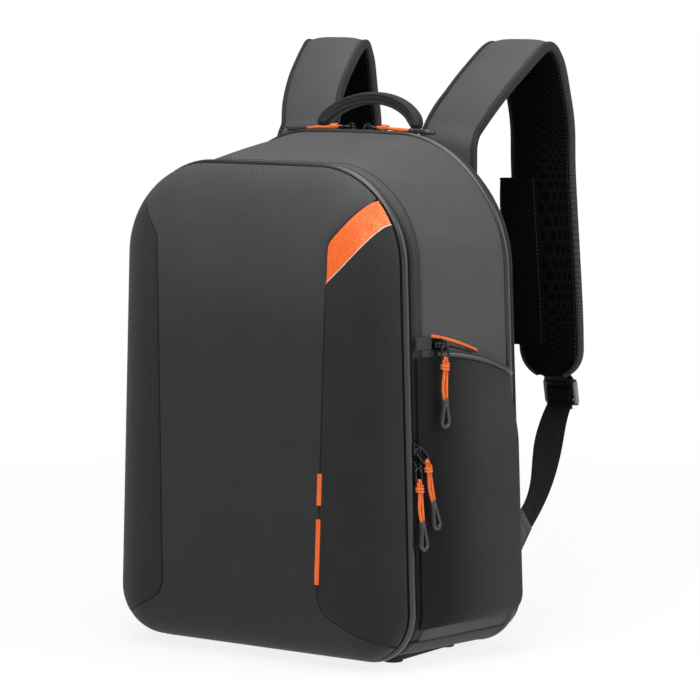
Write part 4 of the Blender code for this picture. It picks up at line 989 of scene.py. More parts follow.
@dataclass(frozen=True)
class PackForm:
    """The body's outline from front to rear and the planes that its pieces lie on, in the frame's place."""

    front: Section = Section(0.1445, 0.136, 0.006, 0.4095, 0.001, 0.042, 0.078)
    rear: Section = Section(0.1645, 0.154, 0.006, 0.4255, 0.0075, 0.042, 0.105)
    depth: float = 0.12
    least_corner: float = 0.012
    groove: float = 0.0033
    front_bead: float = 0.0038
    rear_bead: float = 0.0032
    bead_sunk: float = 0.001
    back_thick: float = 0.016

    @cached_property
    def front_zip(self) -> float:
        """Depth of the front zip."""
        return float(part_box("gusset")[0].y) - self.groove

    @cached_property
    def gusset_front(self) -> float:
        """Depth of the body's front edge."""
        return self.front_zip + self.groove

    @cached_property
    def bead_front(self) -> float:
        """Depth of the front bead."""
        return self.front_zip - self.groove - self.front_bead

    @cached_property
    def rim(self) -> float:
        """Depth of the shell's rim."""
        return self.bead_front - self.front_bead - 0.0003

    @cached_property
    def bead_rear(self) -> float:
        """Depth of the rear bead."""
        return self.front_zip + self.depth

    @cached_property
    def rear_zip(self) -> float:
        """Depth of the rear zip."""
        return self.bead_rear + self.rear_bead + self.groove

    @cached_property
    def back_front(self) -> float:
        """Depth of the back panel's inner face."""
        return self.rear_zip + self.groove

    @cached_property
    def back_rear(self) -> float:
        """Depth of the back panel's outer face."""
        return self.back_front + self.back_thick

    @cached_property
    def top(self) -> float:
        """Height of the rear edge's middle."""
        return self.rear.height + self.rear.arch

    def along(self, y: float | Array) -> float | Array:
        """Share of the depth from the front zip to the rear bead."""
        return (y - self.front_zip) / self.depth

    def values(self, along: float | Array) -> dict[str, Array]:
        """The section's sizes at a share of the depth."""
        return {name: mix(getattr(self.front, name), getattr(self.rear, name), np.asarray(along, float))
                for name in self.front.__dataclass_fields__}

    def corners(self, along: float | Array, inset: float | Array) -> tuple[Array, ...]:
        """Centres and radii of the low and top rounds and the angle of the side between them.

        Args:
            along: Share of the depth.
            inset: Distance in from the outer face.

        Returns:
            x, z and radius of the low round, the same of the top round, and the angle.
        """
        s = self.values(along)
        low_r = np.maximum(s["low_corner"] - inset, self.least_corner)
        top_r = np.maximum(s["top_corner"] - inset, self.least_corner)
        low_x, low_z = s["half_low"] - inset - low_r, s["floor"] + inset + low_r
        top_x, top_z = s["half_top"] - inset - top_r, s["height"] - inset - top_r
        run = np.hypot(top_x - low_x, top_z - low_z)
        join = np.arctan2(top_z - low_z, top_x - low_x) - np.arccos((low_r - top_r) / run)
        return low_x, low_z, low_r, top_x, top_z, top_r, join

    def outline(self, along: float | Array, inset: float | Array, turn: Array) -> tuple[Array, Array]:
        """A point of the outline.

        Args:
            along: Share of the depth.
            inset: Distance in from the outer face.
            turn: From 0 at the middle of the base up the right side to 5 at the top, and on to 10.

        Returns:
            x and z.
        """
        turn = np.mod(turn, 10.0)
        left = turn > 5
        half = np.where(left, 10 - turn, turn)
        low_x, low_z, low_r, top_x, top_z, top_r, join = self.corners(along, inset)
        s = self.values(along)
        k = [np.clip(half - step, 0, 1) for step in range(5)]
        low_a = mix(-math.pi / 2, join, k[1])
        top_a = mix(join, math.pi / 2, k[3])
        arc_low = (low_x + low_r * np.cos(low_a), low_z + low_r * np.sin(low_a))
        arc_top = (top_x + top_r * np.cos(top_a), top_z + top_r * np.sin(top_a))
        side = (mix(low_x + low_r * np.cos(join), top_x + top_r * np.cos(join), k[2]),
                mix(low_z + low_r * np.sin(join), top_z + top_r * np.sin(join), k[2]))
        x = np.select([half < 1, half < 2, half < 3, half < 4], [low_x * k[0], arc_low[0], side[0], arc_top[0]],
                      top_x * (1 - k[4]))
        z = np.select([half < 1, half < 2, half < 3, half < 4],
                      [s["floor"] + inset + 0 * half, arc_low[1], side[1], arc_top[1]], top_z + top_r + 0 * half)
        lift = np.maximum(0.0, (z - top_z) / top_r)
        z = z + s["arch"] * lift * lift * (1 - (x / s["half_top"]) ** 2)
        return np.where(left, -x, x), z

    def ring(self, y: float, inset: float | Array, turns: Array, along: float | None = None) -> Array:
        """Points round the outline.

        Args:
            y: Depth of the points.
            inset: Distance in from the outer face.
            turns: Places round the outline.
            along: Share of the depth whose outline is taken, if it isn't that of y.

        Returns:
            The points as rows.
        """
        x, z = self.outline(self.along(y) if along is None else along, inset, turns)
        return np.stack([x, np.full_like(x, y), z], axis=1)

    def stations(self, count: int, along: float = 0.5, start: float = 0.0, end: float = 10.0) -> Array:
        """Evenly spaced turns round the outline.

        Args:
            count: How many.
            along: Share of the depth that they are even at.
            start: First turn.
            end: Last turn.

        Returns:
            The turns.
        """
        fine = np.linspace(start, end, 6001)
        x, z = self.outline(along, 0.0, fine)
        run = np.concatenate([[0.0], np.cumsum(np.hypot(np.diff(x), np.diff(z)))])
        return np.interp(np.linspace(0, run[-1], count), run, fine)

    def side_x(self, y: float | Array, z: float | Array) -> Array:
        """Half width of the outer face at a depth and a height below the top round.

        Args:
            y: Depth.
            z: Height.

        Returns:
            The half width.
        """
        low_x, low_z, low_r, _, _, _, join = self.corners(self.along(y), 0.0)
        round_x = low_x + np.sqrt(np.maximum(low_r ** 2 - (low_z - z) ** 2, 0))
        flat_x = (low_x * np.cos(join) + (low_z - z) * np.sin(join) + low_r) / np.cos(join)
        return np.where(z < low_z + low_r * np.sin(join), round_x, flat_x)

    def inset_at(self, x: Array, z: Array) -> Array:
        """How far in from the front outline a point lies.

        Args:
            x: Place across.
            z: Height.

        Returns:
            The inset, by halving.
        """
        low = np.zeros_like(x)
        high = np.full_like(x, 0.14)
        for _ in range(36):
            guess = (low + high) / 2
            inside = self._outside(np.abs(x), z, guess) <= 0
            low = np.where(inside, guess, low)
            high = np.where(inside, high, guess)
        return low

    def _outside(self, x: Array, z: Array, inset: Array) -> Array:
        """Positive where the point lies outside the front outline at the inset.

        Args:
            x: Place across, on the right.
            z: Height.
            inset: Distance in from the outer face.

        Returns:
            The distance past the outline.
        """
        low_x, low_z, low_r, top_x, top_z, top_r, join = self.corners(0.0, inset)

        def reach(cx: Array, cz: Array, radius: Array, start: Array, end: Array) -> Array:
            """Furthest reach past a round between two angles."""
            angle = np.clip(np.arctan2(z - cz, x - cx), start, end)
            return (x - cx) * np.cos(angle) + (z - cz) * np.sin(angle) - radius

        half = math.pi / 2
        return np.maximum(reach(low_x, low_z, low_r, -half, join), reach(top_x, top_z, top_r, join, half))

    def belt(self, name: str, profile: Sequence[tuple[float, float, float]], count: int, start: float = 0.0,
             end: float = 10.0) -> Piece:
        """A section carried round the outline.

        Args:
            name: Name of the piece.
            profile: Corners as depth, inset and share of the depth.
            count: Stations along it.
            start: Turn that it begins at.
            end: Turn that it stops at.

        Returns:
            The new piece.
        """
        whole = end - start >= 10
        turns = self.stations(count + 1 if whole else count, 0.5, start, end)
        if whole:
            turns = turns[:-1]
        rings = np.stack([self.ring(y, inset, turns, along) for y, inset, along in profile], axis=1)
        return Bench.loft(name, rings, loop=whole)


FORM = PackForm()


def outwards(middles: Array) -> Array:
    """Direction away from the bag's upright middle."""
    return middles - np.array([0.0, FORM.front_zip + FORM.depth / 2, 0.21])


def frontwards(middles: Array) -> Array:
    """Direction to the front."""
    return np.broadcast_to(-REARWARD, middles.shape)


# Front shell


@dataclass
class FrontShell:
    """The moulded front: panels with rolled seams, orange trims, bead, lining and net pocket."""

    straight: float = 0.0027
    round: float = 0.052
    bulge_low: float = 0.036
    bulge_top: float = 0.031
    crown: float = 0.005
    skin: float = 0.0013
    seam_gap: float = 0.0006
    seam_low: tuple[float, float] = (0.0792, 0.0495)
    seam_top: tuple[float, float] = (0.0868, 0.3505)
    low_slope: float = -0.5
    top_slope: float = 1.22
    low_round: float = 0.026
    top_round: float = 0.014
    accent_tip: float = 0.319
    accent_slope: float = 0.85
    accent_rim_slope: float = 1.5
    strip_width: float = 0.0046
    strips: dict[str, tuple[float, float]] = field(
        default_factory=lambda: {"lower": (0.0714, 0.1263), "upper": (0.137, 0.1635)})
    net_top: float = 0.24
    pattern_half: float = 0.14
    edge_roll: float = 0.0011
    edge_drop: float = 0.0009
    edge_steps: tuple[float, ...] = (0.0, 0.0, 0.0001, 0.0003, 0.0006, 0.001, 0.0016, 0.0026)

    def __post_init__(self) -> None:
        """Works out the seam's line."""
        reach = 1.2 * FORM.front.half_low
        start = (reach, self.seam_low[1] + self.low_slope * (reach - self.seam_low[0]))
        end = (reach, self.seam_top[1] + self.top_slope * (reach - self.seam_top[0]))
        self.seam = self._filleted([start, self.seam_low, self.seam_top, end], (self.low_round, self.top_round))

    @staticmethod
    def _filleted(corners: Sequence[tuple[float, float]], rounds: Sequence[float], steps: int = 16) -> Array:
        """A path through corners whose inner ones are rounded off.

        Args:
            corners: Points of the path.
            rounds: A radius for each inner corner.
            steps: Steps of a round.

        Returns:
            The points as rows.
        """
        path = [np.array(corners[0])]
        for before, corner, after, radius in zip(corners, corners[1:], corners[2:], rounds):
            back, ahead = unit(np.array(before) - corner), unit(np.array(after) - corner)
            half = math.acos(float(back @ ahead)) / 2
            first, last = corner + back * radius / math.tan(half), corner + ahead * radius / math.tan(half)
            for t in np.linspace(0, 1, steps + 1):
                path.append(first * (1 - t) ** 2 + np.array(corner) * 2 * t * (1 - t) + last * t * t)
        return np.array([*path, np.array(corners[-1])])

    def seam_x(self, z: Array) -> Array:
        """x of the right seam at a height."""
        return np.interp(z, self.seam[:, 1], self.seam[:, 0])

    def surface(self, inset: Array, z: Array, sunk: float | Array = 0.0) -> tuple[Array, Array]:
        """Inset and depth before the rim of the moulded surface, after sinking square to it.

        Args:
            inset: Distance in from the outline.
            z: Height.
            sunk: How far below the surface.

        Returns:
            The new inset and the depth.
        """
        angle = np.arccos(np.clip(1 - inset / self.round, 0.0, 1.0))
        floor, height = FORM.front.floor, FORM.front.height
        bulge = mix(self.bulge_low, self.bulge_top, (z - floor) / (height - floor))
        depth = self.straight + bulge * np.sin(angle) + self.crown * smooth((inset - 0.03) / 0.085)
        inward, outward = bulge * np.cos(angle), self.round * np.sin(angle)
        size = np.hypot(inward, outward)
        return inset + sunk * inward / size, depth - sunk * outward / size

    def point(self, turn: Array, inset: Array, sunk: float | Array = 0.0) -> Array:
        """A point of the surface by turn and inset.

        Args:
            turn: Place round the outline.
            inset: Distance in from it.
            sunk: How far below the surface.

        Returns:
            The points as rows.
        """
        _, z = FORM.outline(0.0, inset, turn)
        deeper, depth = self.surface(inset, z, sunk)
        x, z = FORM.outline(0.0, deeper, turn)
        return np.stack([x, FORM.rim - depth, z], axis=-1)

    def front_point(self, x: Array, z: Array, sunk: float | Array = 0.0) -> Array:
        """A point of the surface by its place as seen from the front.

        Args:
            x: Place across.
            z: Height.
            sunk: How far below the surface.

        Returns:
            The points as rows.
        """
        inset = FORM.inset_at(x, z)
        _, depth = self.surface(inset, z, sunk)
        _, _, _, _, top_z, top_r, _ = FORM.corners(0.0, inset)
        lift = np.maximum(0.0, (z - top_z) / top_r)
        raised = z + FORM.front.arch * lift * lift * (1 - (x / FORM.front.half_top) ** 2)
        return np.stack([x, FORM.rim - depth, raised], axis=-1)

    @staticmethod
    def rolled(distance: Array, width: float | Array, depth: float | Array) -> Array:
        """How far an edge sinks at a distance from it."""
        share = np.clip(1 - distance / width, 0, 1)
        return depth * (1 - np.sqrt(1 - share * share))

    def rim_x(self, z: Array) -> Array:
        """Half width of the rim at a height.

        Args:
            z: Height.

        Returns:
            The half width.
        """
        low_x, low_z, low_r, top_x, top_z, top_r, join = FORM.corners(0.0, 0.0)
        low = low_x + np.sqrt(np.maximum(low_r ** 2 - np.minimum(z - low_z, 0) ** 2, 0))
        top = top_x + np.sqrt(np.maximum(top_r ** 2 - np.maximum(z - top_z, 0) ** 2, 0))
        flat = (low_x * np.cos(join) + (low_z - z) * np.sin(join) + low_r) / np.cos(join)
        return np.where(z < low_z + low_r * np.sin(join), low,
                        np.where(z > top_z + top_r * np.sin(join), top, flat))

    def build(self) -> None:
        """Makes every piece of the shell."""
        self.centre_panel()
        self.side_panels()
        self.trims()
        self.edges()
        self.lining()

    def centre_panel(self) -> None:
        """The wide middle panel, stepped along the accent."""
        floor, height = FORM.front.floor, FORM.front.height
        bend = self.round * (1 - np.cos(np.linspace(0, math.radians(78), 26)))
        heights = np.concatenate([floor + bend, np.linspace(floor + bend[-1], height - bend[-1], 130)[1:-1],
                                  height - bend[::-1]])
        near = np.array(self.edge_steps)
        wide = np.linspace(0, 1, 52)[1:]
        columns = 2 * (len(near) + len(wide)) - 2

        def place(u: Array, v: Array) -> Array:
            """Points by column and row."""
            z = heights[np.rint(v * (len(heights) - 1)).astype(int)]
            column = np.rint(u * columns).astype(int)
            right = column > columns // 2
            step = np.where(right, columns - column, column)
            rim, seam = self.rim_x(z), self.seam_x(z)
            at_seam = smooth((rim - seam) / 0.004)
            edge = np.minimum(rim, seam) - at_seam * self.seam_gap / 2
            far = wide[np.clip(step - len(near), 0, 50)]
            inner = near[-1] + (edge - near[-1]) * (0.25 * far + 0.75 * (1 - np.cos(far * math.pi / 2)))
            distance = np.where(step < len(near), near[np.clip(step, 0, len(near) - 1)], inner)
            tall = smooth((z - 0.306) / 0.022) * right
            width, depth = mix(self.edge_roll, 0.0125, tall), mix(self.edge_roll, 0.0031, tall)
            sunk = self.rolled(distance, width, depth) + np.where(step == 0, self.edge_drop, 0.0)
            return self.front_point((edge - distance) * np.where(right, 1, -1), z, sunk * at_seam)

        piece = Bench.sheet("front_centre_skin", columns, len(heights) - 1, place, (0.22, 0.46))
        self.turn_rim(piece)
        Bench.face_along(piece, frontwards)
        Bench.thicken(piece, self.skin)
        Bench.lay_pattern(piece, self.pattern_half)
        settle(piece, Body.SHELL, ["front_panel_centre"], [SHELL_CLOTH])

    def turn_rim(self, piece: Piece) -> None:
        """Turns the panel's outer edge in behind the rim.

        Args:
            piece: A front panel, still a single sheet.
        """
        fine = np.linspace(0, 10, 8001)
        fx, fz = FORM.outline(0.0, 0.0, fine)
        for inset, before, back in ((0.0003, 0.0, 0.0005), (0.0016, 0.0005, 0.0009)):
            Bench.activate(piece)
            bpy.ops.object.mode_set(mode="EDIT")
            bpy.ops.mesh.select_mode(type="EDGE")
            bpy.ops.mesh.select_all(action="DESELECT")
            bpy.ops.object.mode_set(mode="OBJECT")
            points = Bench.points(piece)
            on_rim = np.abs(points[:, 1] - (FORM.rim - self.straight + before)) < 2e-5
            used = {}
            for polygon in piece.data.polygons:
                for key in polygon.edge_keys:
                    used[key] = used.get(key, 0) + 1
            for edge in piece.data.edges:
                a, b = edge.vertices
                edge.select = bool(on_rim[a] and on_rim[b] and used.get(edge.key, 0) == 1)
            bpy.ops.object.mode_set(mode="EDIT")
            bpy.ops.mesh.extrude_region_move()
            bpy.ops.object.mode_set(mode="OBJECT")
            points = Bench.points(piece)
            chosen = np.array([v.index for v in piece.data.vertices if v.select])
            for start in range(0, len(chosen), 400):
                part = chosen[start:start + 400]
                gap = np.hypot(points[part, 0][:, None] - fx, points[part, 2][:, None] - fz)
                x, z = FORM.outline(0.0, inset, fine[gap.argmin(axis=1)])
                points[part, 0], points[part, 2] = x, z
                points[part, 1] = FORM.rim - self.straight + back
            Bench.move_points(piece, points)

    def accent_x(self, z: Array) -> Array:
        """x of the accent's lower edge at a height.

        Args:
            z: Height.

        Returns:
            x on the right.
        """
        tip = float(self.seam_x(self.accent_tip))
        gain = (self.accent_rim_slope - self.accent_slope) / (FORM.front.half_top - tip)
        rise = np.maximum(z - self.accent_tip, -0.02)
        return tip + (np.sqrt(self.accent_slope ** 2 + 2 * gain * rise) - self.accent_slope) / gain

    def crossing(self, line: Curve, low: float, high: float) -> float:
        """Height at which a line reaches the rim, between one inside it and one outside it.

        Args:
            line: x of the line at a height.
            low: Height where it lies inside.
            high: Height where it lies outside.

        Returns:
            The height, by halving.
        """
        for _ in range(50):
            guess = (low + high) / 2
            inside = float(line(np.array(guess))) < float(self.rim_x(np.array(guess)))
            low, high = (guess, high) if inside else (low, guess)
        return low

    def region(self, name: str, span: tuple[float, float], inner: Curve, outer: Curve, side: Side = Side.RIGHT,
               sunk: float = 0.0, rows: int = 200) -> Piece:
        """A panel between two lines of the surface, with the inner edge rolled in.

        Args:
            name: Name of the piece.
            span: Lowest and highest point.
            inner: x of the edge nearer the middle at each height.
            outer: x of the edge nearer the rim at each height.
            side: Side of the bag.
            sunk: How far the whole panel lies below the surface.
            rows: Rows of points.

        Returns:
            The new piece.
        """
        near = np.array(self.edge_steps)
        wide = np.sin(np.linspace(0, math.pi / 2, 44))[1:]
        columns = len(near) + len(wide) - 1

        def place(u: Array, v: Array) -> Array:
            """Points by column and row."""
            z = mix(*span, (1 - np.cos(v * math.pi)) / 2)
            step = np.rint(u * columns).astype(int)
            first, last = inner(z) + self.seam_gap / 2, outer(z)
            room = np.maximum(last - first, 0.0)
            close = np.minimum(near[np.clip(step, 0, len(near) - 1)], room * 0.2)
            start = np.minimum(near[-1], room * 0.2)
            far = start + (room - start) * wide[np.clip(step - len(near), 0, len(wide) - 1)]
            distance = np.where(step < len(near), close, far)
            sink = self.rolled(distance, self.edge_roll, self.edge_roll)
            sink = sink + np.where(step == 0, self.edge_drop, 0.0)
            points = self.front_point(np.minimum(first, last) + distance, z, sink * smooth(room / 0.006) + sunk)
            return points * side.flip

        piece = Bench.sheet(name, columns, rows, place, (0.09, 0.34))
        self.turn_rim(piece)
        Bench.face_along(piece, frontwards)
        Bench.thicken(piece, self.skin)
        Bench.lay_pattern(piece, self.pattern_half)
        return piece

    def side_panels(self) -> None:
        """The two side panels, and the orange panel set into the right one."""
        low = self.crossing(self.seam_x, 0.1, FORM.front.floor)
        high = self.crossing(self.seam_x, 0.3, FORM.front.height)
        cut = self.crossing(self.accent_x, self.accent_tip, FORM.front.height)
        settle(self.region("front_left_skin", (low, high), self.seam_x, self.rim_x, Side.LEFT), Body.SHELL,
               ["front_panel_left"], [SHADED_SIDE_CLOTH])
        settle(self.region("front_right_skin", (low, cut), lambda z: np.maximum(self.seam_x(z), self.accent_x(z)),
                           self.rim_x), Body.SHELL, ["front_panel_right"], [SHADED_SIDE_CLOTH])
        settle(self.region("front_accent_film", (self.accent_tip, high), self.seam_x,
                           lambda z: np.minimum(self.rim_x(z), self.accent_x(z) - 0.0002), sunk=0.0004, rows=120),
               Body.SHELL, ["front_accent_panel"], [ORANGE])
        z = np.linspace(self.accent_tip + 0.001, cut, 60)
        path = self.front_point(self.accent_x(z), z, 0.0002)
        # A pale tube along the accent's lower edge, as a painted highlight on the panel's edge.
        piece = Bench.tube("accent_lower_edge", path, -REARWARD, 0.0009, 0.0009, oval(8))
        settle(piece, Body.SHELL, [], [EDGE_HIGHLIGHT])

    def trims(self) -> None:
        """The raised orange strips on the right seam."""
        for word, (low, high) in self.strips.items():
            def place(u: Array, v: Array, low: float = low, high: float = high) -> Array:
                """Points by share, with softened ends."""
                across = 2 * u - 1
                z = mix(low, high, v) + 0 * u
                end = np.minimum(v, 1 - v) * (high - low)
                narrow = 1 - 0.22 * np.clip(1 - end / 0.0012, 0, 1) ** 2
                x = self.seam_x(z) + across * narrow * self.strip_width / 2
                edge = np.minimum((1 - np.abs(across)) * self.strip_width / 2, end)
                return self.front_point(x, z, -0.0007 + self.rolled(edge, 0.0009, 0.0016))

            piece = Bench.sheet(f"seam_strip_{word}_film", 16, 70, place, (self.strip_width, high - low))
            Bench.face_along(piece, frontwards)
            Bench.thicken(piece, 0.0012)
            settle(piece, Body.SHELL, [f"seam_strip_{word}"], [ORANGE])

    def edges(self) -> None:
        """The rim tape, the bead behind it and the zip's shell side."""
        front, rear = FORM.rim - self.straight + 0.0006, FORM.rim + 0.0006
        profile = [(front, 0.0013, 0.0), (front + 0.0002, 0.0003, 0.0), (front + 0.0008, -0.0002, 0.0),
                   (mix(front, rear, 0.5), -0.0004, 0.0), (rear - 0.0006, -0.0001, 0.0), (rear, 0.0008, 0.0),
                   (rear, 0.003, 0.0), (front, 0.003, 0.0)]
        # The rim tape's near-black colour is partly painted shade for the gap between shell and bead.
        settle(FORM.belt("rim_tape", profile, 360), Body.SHELL, [], [SHADED_EDGE_TAPE])
        turn = np.arange(18) * 2 * math.pi / 18
        bead = [(FORM.bead_front + FORM.front_bead * math.sin(a),
                 FORM.bead_sunk + FORM.front_bead * math.cos(a), 0.0) for a in turn]
        settle(FORM.belt("front_bead_cloth", bead, 420), Body.SHELL, ["front_piping"], [PIPING])
        edge = FORM.front_zip - 0.00015
        ZipTrack("front_zip_shell", edge, edge - 0.002, FORM.rim - self.straight + 0.0003, 8.0, 17.0,
                 0.0).build(Body.SHELL, "front_zip_shell_side")

    def lining(self) -> None:
        """The inside of the shell with its net pocket."""
        turns = FORM.stations(281, 0.0)[:-1]
        insets = np.concatenate([self.round * (1 - np.cos(np.linspace(0.0, math.pi / 2, 22))),
                                 np.linspace(self.round, 0.118, 16)[1:]])
        wall = 0.0048
        rings = [FORM.ring(FORM.rim - 0.0002, inset, turns, 0.0) for inset in (0.0022, 0.0046)]
        rings = np.array(rings + [self.point(turns, np.full_like(turns, inset), wall) for inset in insets])
        middle = rings[-1].mean(axis=0)
        rings = np.concatenate([rings, [mix(rings[-1], middle, 0.5)], [mix(rings[-1], middle, 0.97)]])
        piece = Bench.loft("shell_lining", rings)
        Bench.face_along(piece, lambda middles: -frontwards(middles))
        settle(piece, Body.SHELL, ["front_shell_liner"], [LINING])
        low = FORM.front.floor + 0.0075
        level = FORM.rim - self.straight + 0.001

        def place(u: Array, v: Array) -> Array:
            """A net that dips at its top edge and bows into the shell."""
            z = mix(low, self.net_top, v) - 0.012 * np.sin(math.pi * u) * v ** 2
            x = (2 * u - 1) * (self.rim_x(np.maximum(z, low)) - 0.0075)
            bow = 0.004 * np.sin(math.pi * u) * np.sin(math.pi * np.minimum(v, 0.8))
            return np.stack([x, level - bow, z], axis=-1)

        net = Bench.sheet("shell_net", 90, 80, place, (0.27, 0.23))
        Bench.face_along(net, lambda middles: -frontwards(middles))
        settle(net, Body.SHELL, ["shell_mesh_pocket"], [NET])
        hem = place(np.linspace(0, 1, 90), np.ones(90))
        band = Bench.tube("shell_net_hem", hem, UPWARD, 0.012, 0.0022, oval(16, 4.0))
        settle(band, Body.SHELL, [], [BINDING])


@dataclass
class ZipTrack:
    """One half of a zip: a tape with a coil along its edge."""

    name: str
    edge: float
    coil_end: float
    tail: float
    start: float
    end: float
    share: float
    sunk: float = 0.0056
    coil_height: float = 0.0015
    tape: float = 0.001
    tooth: float = 0.0016

    def build(self, body: Body, node: str) -> None:
        """Makes the tape and the coil.

        Args:
            body: The body that they move with.
            node: The CAD node of the tape.
        """
        far = float(np.clip(FORM.along(self.tail), 0, 1))
        tape = [(self.edge, self.sunk + self.tape, self.share), (self.edge, self.sunk, self.share),
                (self.tail, self.sunk, far), (self.tail, self.sunk + self.tape, far)]
        settle(FORM.belt(f"{self.name}_tape", tape, 260, self.start, self.end), body, [node], [TAPE])
        fine = FORM.stations(400, self.share, self.start, self.end)
        x, z = FORM.outline(self.share, self.sunk, fine)
        run = float(np.hypot(np.diff(x), np.diff(z)).sum())
        count = int(run / self.tooth) * 3
        turns = FORM.stations(count, self.share, self.start, self.end)
        swell = np.where(np.arange(count) % 3 == 1, 1.0, 0.62)
        section = oval(6)
        rings = np.empty((count, 6, 3))
        half = abs(self.coil_end - self.edge) / 2
        middle = (self.edge + self.coil_end) / 2
        for k, (across, up) in enumerate(section):
            inset = self.sunk - self.coil_height * swell * (0.5 + 0.5 * up)
            x, z = FORM.outline(self.share, inset, turns)
            rings[:, k] = np.stack([x, middle + across * half * 0.96 + 0 * x, z], axis=1)
        settle(Bench.loft(f"{self.name}_coil", rings), body, [], [COIL], angle=70)


# Body and pockets


@dataclass
class PackBody:
    """The fabric body: gusset with its hem, base cover, rear bead, zips and the walls inside."""

    hem: float = 0.0066
    base_rise: float = 0.021
    wall_y: float = 0.038
    shelf: float = 0.010
    shelf_heights: tuple[float, float] = (0.155, 0.275)

    def build(self) -> None:
        """Makes every piece of the body."""
        self.gusset()
        self.base_cover()
        self.beads_and_zips()
        self.inside()
        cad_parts["base_plate"].data.materials.clear()
        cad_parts["base_plate"].data.materials.append(RUBBER.material())

    def gusset(self) -> None:
        """The outer cloth with a puffed hem along its front edge and a soft draw between its seams."""
        front, rear = FORM.gusset_front, FORM.bead_rear - FORM.rear_bead - 0.0003
        deep = rear - front
        rows = np.concatenate([[0.0, 0.0, 0.0003], np.linspace(0.001, 0.011, 17),
                               np.linspace(0.0125, deep, 40)])
        sunk = np.concatenate([[0.0042, 0.0012, 0.0003], np.zeros(57)])
        turns = FORM.stations(341, 0.5)[:-1]
        rings = np.empty((len(turns), len(rows), 3))
        rng = np.random.default_rng(7)
        waves = [(rng.uniform(14, 46), rng.uniform(0, 6.28), rng.uniform(20, 60)) for _ in range(9)]
        for k, (run, inset) in enumerate(zip(rows, sunk)):
            puff = 0.00075 * math.sin(math.pi * run / self.hem) if run < self.hem else 0.0
            crease = -0.0007 * math.exp(-((run - self.hem - 0.0005) / 0.0007) ** 2)
            dip = 0.0022 * (1 - float(smooth(run / 0.014))) * smooth((np.abs(turns - 5) - 1.0) / 0.6)
            far = max(0.0, (run - self.hem) / (deep - self.hem))
            draw = sum(np.sin(a * turns + b + c * run) for a, b, c in waves) * 0.00016 * math.sin(math.pi * far)
            belly = 0.0012 * math.sin(math.pi * far) * np.clip(np.abs(turns - 5) < 4, 0, 1)
            rings[:, k] = FORM.ring(front + run, inset + dip - puff - crease - draw - belly * 0.5, turns)
        piece = Bench.loft("gusset_cloth", rings, around=False, loop=True)
        Bench.face_along(piece, outwards)
        piece.data.materials.append(None)
        piece.data.materials.append(None)
        Bench.thicken(piece, 0.0042, second=1)
        settle(piece, Body.PACK, ["gusset"], [GUSSET_CLOTH, LINING])
        path = FORM.ring(front + self.hem + 0.0026, -0.0002, FORM.stations(1200, 0.1, 1.0, 9.0))
        sew("gusset_hem_stitches", path, outwards(path) * (RIGHTWARD + UPWARD), Body.PACK)

    def base_cover(self) -> None:
        """A tougher cover wrapped over the bottom edge, with a rolled upper edge."""
        front, rear = FORM.gusset_front + 0.0004, FORM.bead_rear - FORM.rear_bead - 0.0008
        fine = np.linspace(1, 2, 500)
        _, height = FORM.outline(0.5, 0.0, fine)
        reach = float(np.interp(self.base_rise, height, fine))
        edge = np.array([0.0, 0.02, 0.05, 0.1, 0.2, 0.4])
        shares = np.concatenate([edge / 40, np.linspace(0.02, 0.98, 90), 1 - edge[::-1] / 40])

        def place(u: Array, v: Array) -> Array:
            """Points over the bottom, sunk at the border."""
            row = shares[np.rint(v * (len(shares) - 1)).astype(int)]
            turn = mix(-reach, reach, row)
            y = mix(front, rear, u)
            end = np.minimum(row, 1 - row) * 2 * reach * 0.09
            rim = np.minimum(np.minimum(u, 1 - u) * (rear - front), end)
            proud = 0.0013 - FrontShell.rolled(rim, 0.0014, 0.0016)
            x, z = FORM.outline(FORM.along(y), -proud, turn)
            return np.stack([x, y, np.maximum(z, 0.0045)], axis=-1)

        piece = Bench.sheet("base_cover", 60, len(shares) - 1, place, (rear - front, 0.33))
        Bench.face_along(piece, outwards)
        Bench.thicken(piece, 0.0016)
        settle(piece, Body.PACK, [], [BASE_CLOTH])

    def beads_and_zips(self) -> None:
        """The rear bead, the zips' body sides and the cloth hinges."""
        turn = np.arange(16) * 2 * math.pi / 16
        bead = [(FORM.bead_rear + FORM.rear_bead * math.sin(a),
                 FORM.bead_sunk + FORM.rear_bead * math.cos(a), 1.0) for a in turn]
        settle(FORM.belt("rear_bead_cloth", bead, 420), Body.PACK, ["rear_piping"], [PIPING])
        edge = FORM.front_zip + 0.00015
        ZipTrack("front_zip_body", edge, edge + 0.002, FORM.gusset_front + 0.012, 8.0, 17.0, 0.0).build(
            Body.PACK, "front_zip_body_side")
        edge = FORM.rear_zip - 0.00015
        ZipTrack("rear_zip_body", edge, edge - 0.002, FORM.bead_rear - 0.012, 2.0, 8.0, 1.0).build(
            Body.PACK, "rear_zip_body_side")
        self.hinge("front_hinge_cloth", "front_hinge_tape", Body.SHELL, FORM.gusset_front + 0.012,
                   FORM.rim - 0.002, 7.0, 8.0)
        self.hinge("rear_hinge_cloth", "rear_hinge_tape", Body.BACK, FORM.bead_rear - 0.012,
                   FORM.back_front - 0.0006, 8.0, 12.0)

    @staticmethod
    def hinge(name: str, node: str, other: Body, tail: float, far: float, start: float, end: float) -> None:
        """A strip of cloth that joins the body to a part that opens.

        Args:
            name: Name of the piece.
            node: The CAD node that it stands for.
            other: The body on the far side of the joint.
            tail: Depth of the edge on the body.
            far: Depth of the edge on the other part.
            start: Turn at one end.
            end: Turn at the other end.
        """
        inset = 0.0061
        turns = FORM.stations(120, 0.5, start + 0.01, end - 0.01)
        rows = [FORM.ring(y, inset, turns, float(np.clip(FORM.along(y), 0, 1)))
                for y in np.linspace(tail, far, 24)]
        piece = Bench.loft(name, np.stack(rows, axis=1), around=False)
        Bench.face_along(piece, outwards)
        Bench.thicken(piece, 0.0009)
        settle_across(piece, (Body.PACK.value, other.value), node, TAPE)

